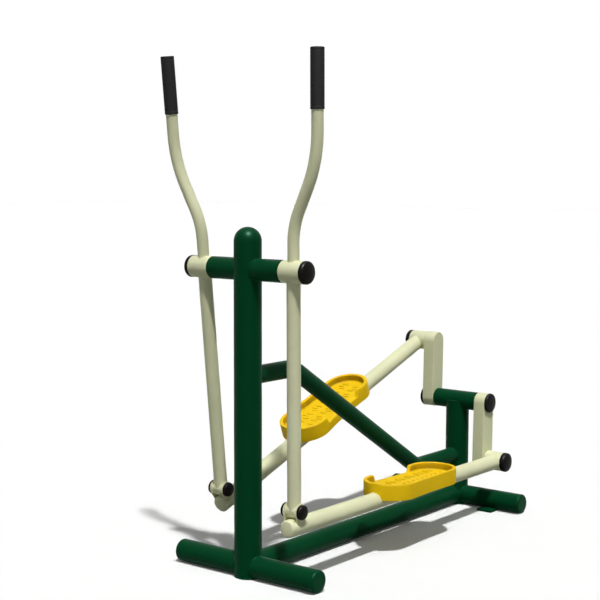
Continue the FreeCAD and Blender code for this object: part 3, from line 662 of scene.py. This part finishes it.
def make_sleeves(shape):
    """Pivot, foot and crank sleeves with softly rounded ends."""
    soft = shape.sleeve_rounding
    rows = (
        ("_pivot_sleeve", "_lever_sleeve", "_lever", SLEEVE_RADIUS, SLEEVE_WALL, soft),
        ("_lower_pivot_sleeve", "_foot_sleeve", "_lever", FOOT_SLEEVE_RADIUS, FOOT_SLEEVE_WALL,
         FOOT_SLEEVE_EDGE),
        ("_rear_sleeve", "_crank_sleeve", "_pedal_bar", CRANK_SLEEVE_RADIUS, TUBE_WALL, soft))
    for side in SIDES:
        for piece, node, body, radius, wall, rounding in rows:
            low, high = inner_x("right" + node), outer_x("right" + node)
            form = sleeve_form(low, high, radius, wall, rounding, shape.round_steps)
            if node == "_foot_sleeve":
                form = moved(form, Matrix.Translation((0, 0, -lever_length(side))))
            add_side_piece(side, piece, form, "cream_paint", body, node)


def make_black_caps(shape):
    """All pressed-in caps: axle ends, crank hub, crank pins and foot bolts."""
    def cap(radius, size):
        rim, rise = size
        return cap_form(radius, rim, rise, rise * shape.cap_shoulder, shape.round_steps)

    def seated(cap_node, sleeve_node, size):
        radius = box_size(cap_node).z / 2
        return moved(cap(radius, size), along_x(outer_x(sleeve_node)))

    small = cap(FOOT_CAP_RADIUS, FOOT_CAP)
    pair = joined([moved(small, along_x(LEVER_X + EAR_OUT, -BAR_REACH, BAR_RISE)),
                   moved(small, along_x(LEVER_X - EAR_OUT, -BAR_REACH, BAR_RISE, True))])
    axle = seated("right_lever_cap", "right_lever_sleeve", LEVER_CAP)
    pin = seated("right_crank_sleeve_cap", "right_crank_sleeve", SLEEVE_CAP)
    for side in SIDES:
        add_side_piece(side, "_axle_cap", axle, "black_cap", "_lever", "_lever_cap")
        add_side_piece(side, "_pin_cap", pin, "black_cap", "_pedal_bar", "_crank_sleeve_cap")
        add_side_piece(side, "_bolt_caps", pair, "black_cap", "_pedal_bar", "_foot_caps")
    hub = moved(cap(HUB_CAP_RADIUS, HUB_CAP), along_x(outer_x("right_crank_arm")))
    both = joined([hub, moved(hub, Matrix.Scale(-1, 4, X_DIR))])
    add_piece("crank_hub_caps", both, "black_cap", "crank_set", ["hub_caps"],
              Matrix.Translation((0, REAR_Y, CRANK_Z)))


def make_ground_caps(shape):
    """Rounded end caps of the four ground tubes, each set off by a fine groove."""
    forms = []
    width = GROUND_CAP_WIDTH
    plug_r = STUB_RADIUS - TUBE_WALL - 0.0002
    profile = rounded_profile([
        (-GROUND_CAP_PLUG, plug_r - 0.002, 0), (-GROUND_CAP_PLUG, plug_r, 0.001), (0.0, plug_r, 0),
        (0.0, STUB_RADIUS - 0.0007, 0), (0.0009, STUB_RADIUS, 0.0003),
        (width, STUB_RADIUS, GROUND_CAP_EDGE), (width, STUB_RADIUS * 0.5, 0)], 8)
    profile = [Vector((-GROUND_CAP_PLUG, 0.0))] + profile + [Vector((width, 0.0))]
    cap = turned(profile, shape.round_steps)
    for node, y in (("front_base_tubes", 0.0), ("rear_base_tubes", REAR_Y)):
        for turn in (1, -1):
            place = Matrix.Scale(turn, 4, X_DIR) @ along_x(outer_x(node), y, STUB_RADIUS)
            forms.append(moved(cap, place))
    add_piece("ground_tube_caps", joined(forms), "green_paint", "frame", ["base_tube_caps"])


def make_grips(shape):
    """Rubber grips: flat rounded top, fine groove and a slightly fuller lip at the foot."""
    radius = box_size("right_grip").x / 2
    groove = shape.grip_groove
    body_r = radius - 0.0002
    profile = rounded_profile([
        (0.0, HANDLE_RADIUS - 0.001, 0), (0.0, radius, 0.0012), (0.0075, radius, 0.0008),
        (0.0090, body_r - groove, 0.0006), (0.0105, body_r, 0.0006),
        (GRIP_LENGTH - 0.0115, body_r, 0.0006), (GRIP_LENGTH - 0.010, body_r - groove, 0.0006),
        (GRIP_LENGTH - 0.0085, body_r, 0.0006), (GRIP_LENGTH, body_r, 0.0026),
        (GRIP_LENGTH, body_r * 0.55, 0), (GRIP_LENGTH - 0.0006, body_r * 0.52, 0)], 5)
    profile = [Vector((0.0, 0.0))] + profile + [Vector((GRIP_LENGTH - 0.0006, 0.0))]
    stand = Matrix.Rotation(-pi / 2, 4, "Y")
    foot = HANDLE_TOP_Z + GRIP_TOP_WALL - GRIP_LENGTH
    lift = Matrix.Translation((LEVER_X + HANDLE_OFFSET, 0, foot))
    form = moved(turned(profile, shape.round_steps), lift @ stand)
    for side in SIDES:
        add_side_piece(side, "_hand_grip", form, "grip_rubber", "_lever", "_grip")


# Footboards

def board_corners(heel):
    """Corner points and radii of the outline, seen from above, toe first, outer side first."""
    toe = -heel - BOARD_LENGTH
    waist = toe + BOARD_WAIST
    rows = ((toe, 0), (waist, 1), (-heel, 2))
    outer = [Vector((LEVER_X + BOARD_OUTER[k], y)) for y, k in rows]
    inner = [Vector((LEVER_X - BOARD_INNER[k], y)) for y, k in reversed(rows)]
    radii = [BOARD_TOE_R, BOARD_WAIST_R, BOARD_HEEL_R]
    return outer + inner, radii + radii[::-1]


def even_points(start, end, step):
    """Points from start towards end, without the end itself."""
    count = max(1, round((end - start).length / step))
    return [start.lerp(end, k / count) for k in range(count)]


def board_outline(heel):
    """Points round the outline with the direction that faces out at each."""
    corners, radii = board_corners(heel)
    arcs = []
    for k, radius in enumerate(radii):
        here = corners[k]
        way_in = (corners[k - 1] - here).normalized()
        way_out = (corners[(k + 1) % len(corners)] - here).normalized()
        half = way_in.angle(way_out) / 2
        centre = here + (way_in + way_out).normalized() * (radius / sin(half))
        reach = radius / tan(half)
        arcs.append((here + way_in * reach, centre, here + way_out * reach))
    points, outwards = [], []
    for k, (start, centre, end) in enumerate(arcs):
        before = arcs[k - 1][2]
        heading = (start - before).normalized()
        for point in even_points(before, start, OUTLINE_STEP):
            points.append(point)
            outwards.append(Vector((heading.y, -heading.x)))
        first = start - centre
        sweep = first.angle_signed(end - centre)
        waist = radii[k] == BOARD_WAIST_R
        count = max(2, round(abs(sweep) * radii[k] / OUTLINE_STEP))
        for n in range(count):
            spoke = Matrix.Rotation(-sweep * n / count, 2) @ first
            points.append(centre + spoke)
            outwards.append(-spoke.normalized() if waist else spoke.normalized())
    return points, outwards


def smooth_step(value):
    value = max(0.0, min(1.0, value))
    return value * value * (3 - 2 * value)


def rim_share(point, heel):
    """1 where the rim stands at full height, 0 along the open side."""
    if point.x > LEVER_X:
        return 1.0
    from_toe = point.y + heel + BOARD_LENGTH
    drop = BOARD_RIM_DROP
    return max(smooth_step((BOARD_OPEN[0] + drop - from_toe) / drop),
               smooth_step((from_toe - BOARD_OPEN[1] + drop) / drop))


def quarter(radius, inset, z, turn):
    """An arc of the wall's section about a centre, from one turn to a right angle on."""
    arc = []
    for k in range(ARC_STEPS + 1):
        angle = radians(turn + 90 * k / ARC_STEPS)
        arc.append((inset - radius * cos(angle), z + radius * sin(angle)))
    return arc


def wall_section(top, low, rounding):
    """(inset, height, shade) points of the wall, from the skirt over the rim to the floor. The
    shade value paints shade into the inner foot of the wall and the floor beside it, more where the
    rim stands higher.
    """
    standing = top - BOARD_FLOOR
    edge = max(0.0015, min(rounding, 0.0025 + standing / 3))
    inner = min(rounding, standing * 0.5)
    foot = min(WALL_FILLET, standing * 0.45)
    outside = [
        (BOARD_SKIRT_WALL + UNDER_FILLET * 1.6, BOARD_FLOOR_LOW),
        (BOARD_SKIRT_WALL + UNDER_FILLET * 0.5, BOARD_FLOOR_LOW - UNDER_FILLET * 0.15),
        (BOARD_SKIRT_WALL, BOARD_FLOOR_LOW - UNDER_FILLET),
        (BOARD_SKIRT_WALL, low + 0.0012), (BOARD_SKIRT_WALL - 0.0012, low),
        (0.0012, low), (0.0002, low + 0.0010)] + quarter(edge, edge, top - edge, 0)
    section = [(*spot, 0.0) for spot in outside]
    depth = standing / (BOARD_TOP - BOARD_FLOOR)
    for k, spot in enumerate(quarter(inner, BOARD_WALL - inner, top - inner, 90)):
        section.append((*spot, 0.35 * depth * max(0, k - 3)))
    for k in range(ARC_STEPS + 1):
        angle = radians(90 * k / ARC_STEPS)
        section.append((BOARD_WALL + foot * (1 - cos(angle)),
                        BOARD_FLOOR + foot * (1 - sin(angle)), depth * (1.0 - 0.12 * k)))
    section.append((BOARD_WALL + 0.0085, BOARD_FLOOR, 0.0))
    return section


def skirt_low(point):
    """Lower edge of the skirt, raised where the pedal tube passes through it."""
    grip_r = BAR_RADIUS - 0.002
    across = abs(point.x - LEVER_X)
    if across >= grip_r:
        return BOARD_LOW
    return max(BOARD_LOW, sqrt(grip_r ** 2 - across ** 2))


def tray_form(heel, rounding):
    """The moulded tray: skirt, rim with its open side, floor above and below."""
    outline, outwards = board_outline(heel)
    points, rows, grime = [], [], []
    for point, outward in zip(outline, outwards):
        top = BOARD_FLOOR + (BOARD_TOP - BOARD_FLOOR) * rim_share(point, heel)
        row = []
        # Each section point also carries its weight of painted shade.
        for inset, height, shade_weight in wall_section(top, skirt_low(point), rounding):
            place = point - outward * inset
            row.append(len(points))
            points.append((place.x, place.y, height))
            grime.append(shade_weight)
        rows.append(row)
    faces = []
    for here, there in zip(rows, rows[1:] + rows[:1]):
        for k in range(len(here) - 1):
            faces.append([here[k], here[k + 1], there[k + 1], there[k]])
    faces.append([row[-1] for row in rows])
    faces.append([row[0] for row in reversed(rows)])
    return (points, faces), grime


def tread_bar(length, width, height):
    """One raised bar of the tread, across the board, sunk a little into the floor."""
    half = (length - width) / 2
    rings = ((0.0, -0.0006), (0.0, height * 0.45), (0.14, height * 0.82), (0.36, height))
    points, faces = [], []
    corners = 12
    for inset, z in rings:
        r = width / 2 - inset * width
        for end, turn in ((half, -0.5), (-half, 0.5)):
            for k in range(corners):
                angle = pi * (turn + k / (corners - 1))
                points.append((end + r * cos(angle), r * sin(angle), z))
    count = corners * 2
    for ring in range(len(rings) - 1):
        for k in range(count):
            a, b = ring * count + k, ring * count + (k + 1) % count
            faces.append([a, b, b + count, a + count])
    faces.append([(len(rings) - 1) * count + k for k in range(count)])
    faces.append(list(reversed(range(count))))
    return points, faces


def tread_places(heel):
    """Where the bars of the tread stand: clusters of three, in two columns."""
    middle = -heel - BOARD_LENGTH / 2
    places = []
    for row in range(TREAD_ROWS):
        ahead = middle + TREAD_PITCH * (row - (TREAD_ROWS - 1) / 2)
        for column in (-1, 1):
            for dx, dy in TREAD_CLUSTER:
                places.append((LEVER_X + TREAD_SHIFT + column * (TREAD_COLUMN + dx),
                               ahead + dy + column * TREAD_SHIFT))
    return places


def make_footboards(shape):
    """Moulded yellow trays with a raised tread."""
    for side in SIDES:
        heel = BOARD_HEEL[side]
        tray, grime = tray_form(heel, shape.rim_rounding)
        forms = [tray]
        bar = tread_bar(shape.tread_length, shape.tread_width, shape.tread_height)
        # Painted shade on the lower half of each tread bar.
        bar_shade = [TREAD_SHADE if z < shape.tread_height / 2 else 0.0 for x, y, z in bar[0]]
        for x, y in tread_places(heel):
            forms.append(moved(bar, Matrix.Translation((x, y, BOARD_FLOOR))))
            grime += bar_shade
        add_side_piece(side, "_tread_board", joined(forms), "yellow_plastic", "_pedal_bar",
                       "_footboard", grime=grime)


# Weld beads

def leaving(point, along, middle, axis, radius):
    """How far along a line it leaves a round bar of endless length."""
    off = point - middle
    off = off - axis * off.dot(axis)
    way = along - axis * along.dot(axis)
    a, b, c = way.dot(way), off.dot(way), off.dot(off) - radius ** 2
    inside = b * b - a * c
    if inside < 0:
        return 0.0
    return (-b + sqrt(inside)) / a


def tube_seam(start, along, radius, bars):
    """The closed line where a round tube leaves the bars that it is coped to."""
    first = along.orthogonal().normalized()
    second = along.cross(first)
    count = max(48, round(2 * pi * radius * 1.15 / BEAD_STEP))
    seam = []
    for k in range(count):
        angle = 2 * pi * k / count
        rim = start + (first * cos(angle) + second * sin(angle)) * radius
        reach = max(leaving(rim, along, *bar) for bar in bars)
        seam.append(rim + along * reach)
    return seam


def runs_of(seam, keep):
    """Splits a closed line into the runs whose points are kept, and says if it stays closed."""
    kept = [keep(point) for point in seam]
    if all(kept):
        return [(seam, True)]
    first = next(k for k in range(len(seam)) if not kept[k - 1] and kept[k])
    runs = [list(run) for stays, run in groupby(seam[first:] + seam[:first], keep) if stays]
    return [(run, False) for run in runs if len(run) > 5]


def bead_form(shape, line, closed, radius, corners=8):
    """A rippled weld bead along a line; an open one tapers at its ends."""
    count = len(line)
    travelled, lengths = 0.0, []
    for k, point in enumerate(line):
        if k:
            travelled += (point - line[k - 1]).length
        lengths.append(travelled)
    whole = travelled + ((line[0] - line[-1]).length if closed else 0.0)
    waves = max(1, round(whole / shape.weld_ripple))
    points, faces = [], []
    previous = None
    for k, point in enumerate(line):
        ahead = line[(k + 1) % count] if closed or k < count - 1 else point
        behind = line[k - 1] if closed or k else point
        heading = (ahead - behind).normalized()
        if previous is None:
            side = heading.orthogonal().normalized()
        else:
            side = (previous - heading * previous.dot(heading)).normalized()
        previous = side
        other = heading.cross(side)
        phase = (lengths[k] / whole * waves) % 1.0
        size = radius * (0.90 + 0.10 * sqrt(1 - phase))
        if not closed:
            from_end = min(lengths[k], whole - lengths[k])
            size *= sqrt(min(1.0, 0.12 + from_end / (radius * 1.6)))
        for n in range(corners):
            angle = 2 * pi * n / corners
            points.append(point + (side * cos(angle) + other * sin(angle)) * size)
    links = count if closed else count - 1
    last = points[(count - 1) * corners]
    shift = min(range(corners), key=lambda n: (points[n] - last).length)
    for k in range(links):
        turn = shift if k == count - 1 else 0
        for n in range(corners):
            a = k * corners + n
            b = k * corners + (n + 1) % corners
            c = (k + 1) % count * corners + (n + 1 + turn) % corners
            d = (k + 1) % count * corners + (n + turn) % corners
            faces.append([a, b, c, d])
    if not closed:
        faces.append(list(reversed(range(corners))))
        faces.append([(count - 1) * corners + n for n in range(corners)])
    return points, faces


def straight_bead(shape, start, end, radius):
    """An open bead between two points."""
    return bead_form(shape, even_points(start, end, BEAD_STEP) + [end], False, radius)


def beads(shape, seams, radius=None):
    """Beads for (line, keep) pairs; keep may be None for a whole closed seam."""
    size = radius or shape.weld_radius
    forms = []
    for seam, keep in seams:
        for line, closed in runs_of(seam, keep or (lambda point: True)):
            forms.append(bead_form(shape, line, closed, size))
    return forms


def make_frame_welds(shape):
    """Beads where the frame's tubes meet."""
    above = shape.weld_radius + 0.0008
    post = (Vector((0, 0, 0)), Z_DIR, POST_RADIUS)
    rear = (Vector((0, REAR_Y, 0)), Z_DIR, POST_RADIUS)
    seams = []

    def off_floor(point):
        return point.z > above

    def seam(start, along, radius, bars, keep=None):
        seams.append((tube_seam(Vector(start), along, radius, bars), keep))

    for y, bar in ((0.0, post), (REAR_Y, rear)):
        for out in (X_DIR, -X_DIR):
            seam((0, y, STUB_RADIUS), out, STUB_RADIUS, [bar], off_floor)
        stub = (Vector((0, y, STUB_RADIUS)), X_DIR, STUB_RADIUS)
        inwards = Y_DIR if y == 0.0 else -Y_DIR
        seam((0, y, LONG_TUBE_RADIUS), inwards, LONG_TUBE_RADIUS, [bar, stub], off_floor)
    seam((0, 0, BRACE_TOP_Z), Y_DIR, BRACE_RADIUS, [post])
    seam((0, REAR_Y, BRACE_LOW_Z), -Y_DIR, BRACE_RADIUS, [rear])
    for out in (X_DIR, -X_DIR):
        seam((0, 0, PIVOT_Z), out, CROSS_BAR_RADIUS, [post])
    forms = beads(shape, seams)
    for out in (1, -1):
        line = []
        for k in range(HOUSING_BEAD_STEPS + 1):
            angle = pi * (k / HOUSING_BEAD_STEPS - 0.5)
            y = HOUSING_RADIUS * sin(angle)
            z = CRANK_Z - HOUSING_RADIUS * cos(angle)
            x = out * sqrt(POST_RADIUS ** 2 - y ** 2)
            line.append(Vector((x, REAR_Y + y, z)))
        forms.append(bead_form(shape, line, False, shape.weld_radius))
    add_piece("frame_welds", joined(forms), "green_paint", "frame", crease_deg=BEAD_CREASE)
    lug_forms = []
    lug_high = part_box("ground_lugs")[1]
    lug_x = lug_high.x - LUG_WIDTH / 2
    lug_top = lug_high.z
    contact = sqrt(STUB_RADIUS ** 2 - (STUB_RADIUS - lug_top) ** 2)
    for out in (1, -1):
        for toward in (1, -1):
            y = REAR_Y + toward * contact
            ends = [Vector((out * (lug_x + reach), y, lug_top))
                    for reach in (-LUG_BEAD_HALF, LUG_BEAD_HALF)]
            lug_forms.append(straight_bead(shape, *ends, LUG_BEAD))
    add_piece("lug_welds", joined(lug_forms), "green_paint", "frame", crease_deg=BEAD_CREASE)


def make_lever_welds(shape):
    """Beads round the handle and the lower tube at both sleeves of each lever."""
    sleeve = (Vector((0, 0, 0)), X_DIR, SLEEVE_RADIUS)
    for side in SIDES:
        length = lever_length(side)
        start = Vector((LEVER_X, 0, 0))
        seams = [
            (tube_seam(start, Z_DIR, HANDLE_RADIUS, [sleeve]), None),
            (tube_seam(start, -Z_DIR, LOWER_TUBE_RADIUS, [sleeve]), None)]
        forms = beads(shape, seams, LEVER_BEAD)
        foot = Vector((LEVER_X, 0, -length))
        foot_sleeve = (foot, X_DIR, FOOT_SLEEVE_RADIUS)
        seam = tube_seam(foot, Z_DIR, LOWER_TUBE_RADIUS, [foot_sleeve])
        clear = [(seam, lambda point: abs(point.x - LEVER_X) < EAR_CLEAR)]
        forms += beads(shape, clear, LEVER_FOOT_BEAD)
        add_side_piece(side, "_lever_welds", joined(forms), "cream_paint", "_lever",
                       crease_deg=BEAD_CREASE)


def make_bar_welds(shape):
    """Beads at the rear sleeve and along both faces of the clevis ears of each pedal bar."""
    sleeve = (Vector((0, 0, 0)), X_DIR, CRANK_SLEEVE_RADIUS)
    rows = (
        (EAR_OUT + 0.0002, EAR_BASE_Z - 0.0005, EAR_BASE_HALF, EAR_BEAD),
        (EAR_IN, sqrt(BAR_RADIUS ** 2 - EAR_IN ** 2), EAR_BASE_HALF + 0.0015, INNER_EAR_BEAD))
    for side in SIDES:
        start = Vector((LEVER_X, 0, 0))
        forms = beads(shape, [(tube_seam(start, -Y_DIR, BAR_RADIUS, [sleeve]), None)], BAR_BEAD)
        for out in (1, -1):
            for off, z, half, radius in rows:
                ends = [Vector((LEVER_X + out * off, -BAR_REACH + reach, z))
                        for reach in (-half, half)]
                forms.append(straight_bead(shape, *ends, radius))
        add_side_piece(side, "_bar_welds", joined(forms), "cream_paint", "_pedal_bar",
                       crease_deg=BEAD_CREASE)


# CAD nodes that stay

def finish_cad_nodes():
    """Gives every CAD node the procedural finish of its slot."""
    for node in frame["nodes"].values():
        for holder in node.material_slots:
            slot = holder.material.name.split(".")[0].replace("_finish", "")
            holder.material = finish(slot)


# Stage

CAMERA_AT = (2.7580, -3.2070, 1.2992)
CAMERA_BEARING = radians(38.446)
CAMERA_TILT = radians(84.598)
CAMERA_ROLL = radians(0.155)
KEY_FROM = Vector((0.350, -0.286, 1.0))
SHEEN_SOFTNESS = radians(6.0)
FLOOR_HALF = 40.0
FLOOR_BELOW = 0.0005
FLOOR_BOUNCE = (0.17, 0.18, 0.165)
FLOOR_GLOW = 0.02


def seen_directly(holder):
    """1 for rays from the camera and for those that a shiny or clear surface sends on."""
    path = node_tools(holder)[0]("LightPath").outputs
    total = path["Is Camera Ray"]
    for key in ("Is Glossy Ray", "Is Transmission Ray"):
        total = combined(holder, "MAXIMUM", total, path[key])
    return total


def floor_material(colour):
    """Pale matt floor: white paper to the camera, much darker to what it lights from below."""
    material, shader, place = started_finish("studio_floor")
    add, link = node_tools(material)
    base = clouded(material, noise(material, place, 2.0, 3.0), colour, 0.995, 1.005)
    seen = seen_directly(material)
    base = mixed(material, seen, FLOOR_BOUNCE, base)
    link(base, shader.inputs["Base Color"])
    shader.inputs["Roughness"].default_value = 0.9
    shader.inputs["Specular IOR Level"].default_value = 0.1
    glow = add("Emission", {"Color": (0.97, 1.0, 0.98, 1.0)})
    link(combined(material, "MULTIPLY", seen, FLOOR_GLOW), glow.inputs["Strength"])
    both = add("AddShader")
    link(shader.outputs["BSDF"], both.inputs[0])
    link(glow.outputs["Emission"], both.inputs[1])
    output = next(n for n in material.node_tree.nodes if n.type == "OUTPUT_MATERIAL")
    link(both.outputs["Shader"], output.inputs["Surface"])
    return material


def white_world(strength):
    """Even white surround: full white to the camera, softer as light."""
    world = bpy.data.worlds.new("studio_surround")
    bpy.context.scene.world = world
    world.use_nodes = True
    world.node_tree.nodes.clear()
    add, link = node_tools(world)
    blend = add("MixShader")
    link(seen_directly(world), blend.inputs["Fac"])
    for socket, amount in ((1, strength), (2, 1.0)):
        white = add("Background", {"Color": (1.0, 1.0, 1.0, 1.0), "Strength": amount})
        link(white.outputs["Background"], blend.inputs[socket])
    output = add("OutputWorld")
    link(blend.outputs["Shader"], output.inputs["Surface"])


def high_lamp(name, strength, softness):
    """A lamp high up on the user's right, a little ahead of the machine."""
    lamp = bpy.data.lights.new(name, "SUN")
    lamp.energy = strength
    lamp.angle = softness
    holder = in_scene(name, lamp)
    holder.rotation_euler = KEY_FROM.to_track_quat("Z", "Y").to_euler()
    return holder


def make_stage(settings, colours):
    """Floor, surround, lamps and the camera at the photograph's angle."""
    mesh = bpy.data.meshes.new("studio_floor")
    half = FLOOR_HALF
    mesh.from_pydata([(-half, -half, 0), (half, -half, 0), (half, half, 0), (-half, half, 0)],
                     [], [(0, 1, 2, 3)])
    mesh.materials.append(floor_material(tuple(colours.floor)))
    floor = in_scene("studio_floor", mesh)
    floor.location.z = -FLOOR_BELOW
    white_world(settings.sky_light)
    high_lamp("key_light", settings.key_light, settings.key_softness)
    sheen = high_lamp("sheen_light", settings.sheen_light, SHEEN_SOFTNESS)
    sheen.visible_diffuse = False
    lens = bpy.data.cameras.new("camera")
    lens.lens = settings.lens
    lens.sensor_width = 36.0
    lens.clip_end = 200.0
    camera = in_scene("camera", lens)
    camera.matrix_world = (
        Matrix.Translation(CAMERA_AT) @ Matrix.Rotation(CAMERA_BEARING, 4, "Z")
        @ Matrix.Rotation(CAMERA_TILT, 4, "X") @ Matrix.Rotation(CAMERA_ROLL, 4, "Z"))
    bpy.context.scene.camera = camera
    bpy.context.scene.view_settings.view_transform = "Standard"


# Operators

class ShapeStep:
    """What most steps share: their makers run with the shape settings."""

    def execute(self, context):
        for make in self.makers:
            make(context.scene.walker_shape)
        return {"FINISHED"}


class WALKER_OT_cad_finishes(bpy.types.Operator):
    """Paint every CAD node with its procedural finish"""

    bl_idname = "walker.cad_finishes"
    bl_label = "Finishes of the frame"

    def execute(self, context):
        finish_cad_nodes()
        return {"FINISHED"}


class WALKER_OT_ground_caps(ShapeStep, bpy.types.Operator):
    """Make the rounded end caps of the ground tubes"""

    bl_idname = "walker.ground_caps"
    bl_label = "Ground tube caps"
    makers = (make_ground_caps,)


class WALKER_OT_sleeves(ShapeStep, bpy.types.Operator):
    """Make the sleeves of the levers and pedal bars"""

    bl_idname = "walker.sleeves"
    bl_label = "Sleeves"
    makers = (make_sleeves,)


class WALKER_OT_black_caps(ShapeStep, bpy.types.Operator):
    """Make the black caps of axle, cranks and foot bolts"""

    bl_idname = "walker.black_caps"
    bl_label = "Black caps"
    makers = (make_black_caps,)


class WALKER_OT_grips(ShapeStep, bpy.types.Operator):
    """Make the rubber grips"""

    bl_idname = "walker.grips"
    bl_label = "Grips"
    makers = (make_grips,)


class WALKER_OT_footboards(ShapeStep, bpy.types.Operator):
    """Make the moulded footboards"""

    bl_idname = "walker.footboards"
    bl_label = "Footboards"
    makers = (make_footboards,)


class WALKER_OT_welds(ShapeStep, bpy.types.Operator):
    """Make the weld beads of frame, levers and pedal bars"""

    bl_idname = "walker.welds"
    bl_label = "Weld beads"
    makers = (make_frame_welds, make_lever_welds, make_bar_welds)


class WALKER_OT_stage(bpy.types.Operator):
    """Make the floor, the lamps and the camera"""

    bl_idname = "walker.stage"
    bl_label = "Stage"

    def execute(self, context):
        make_stage(context.scene.walker_stage, context.scene.walker_colours)
        return {"FINISHED"}


OPERATORS = (
    WALKER_OT_cad_finishes,
    WALKER_OT_ground_caps,
    WALKER_OT_sleeves,
    WALKER_OT_black_caps,
    WALKER_OT_grips,
    WALKER_OT_footboards,
    WALKER_OT_welds,
    WALKER_OT_stage,
)


class WALKER_PT_panel(bpy.types.Panel):
    """Lists the steps that dress the air walker"""

    bl_idname = "WALKER_PT_panel"
    bl_label = "Air walker"
    bl_space_type = "VIEW_3D"
    bl_region_type = "UI"
    bl_category = "Air walker"

    def draw(self, context):
        for name in SETTINGS:
            group = getattr(context.scene, name)
            column = self.layout.column(align=True)
            for key in group.__annotations__:
                column.prop(group, key)
        for operator in OPERATORS:
            self.layout.operator(operator.bl_idname)


SETTINGS = {
    "walker_shape": WalkerShape,
    "walker_colours": WalkerColours,
    "walker_stage": WalkerStage,
}
CLASSES = (*SETTINGS.values(), *OPERATORS, WALKER_PT_panel)


def register():
    for item in CLASSES:
        bpy.utils.register_class(item)
    for name, group in SETTINGS.items():
        setattr(bpy.types.Scene, name, PointerProperty(type=group))


def unregister():
    for name in SETTINGS:
        delattr(bpy.types.Scene, name)
    for item in reversed(CLASSES):
        bpy.utils.unregister_class(item)


def main():
    register()
    for operator in OPERATORS:
        group, step = operator.bl_idname.split(".")
        getattr(getattr(bpy.ops, group), step)()


if __name__ == "__main__":
    main()
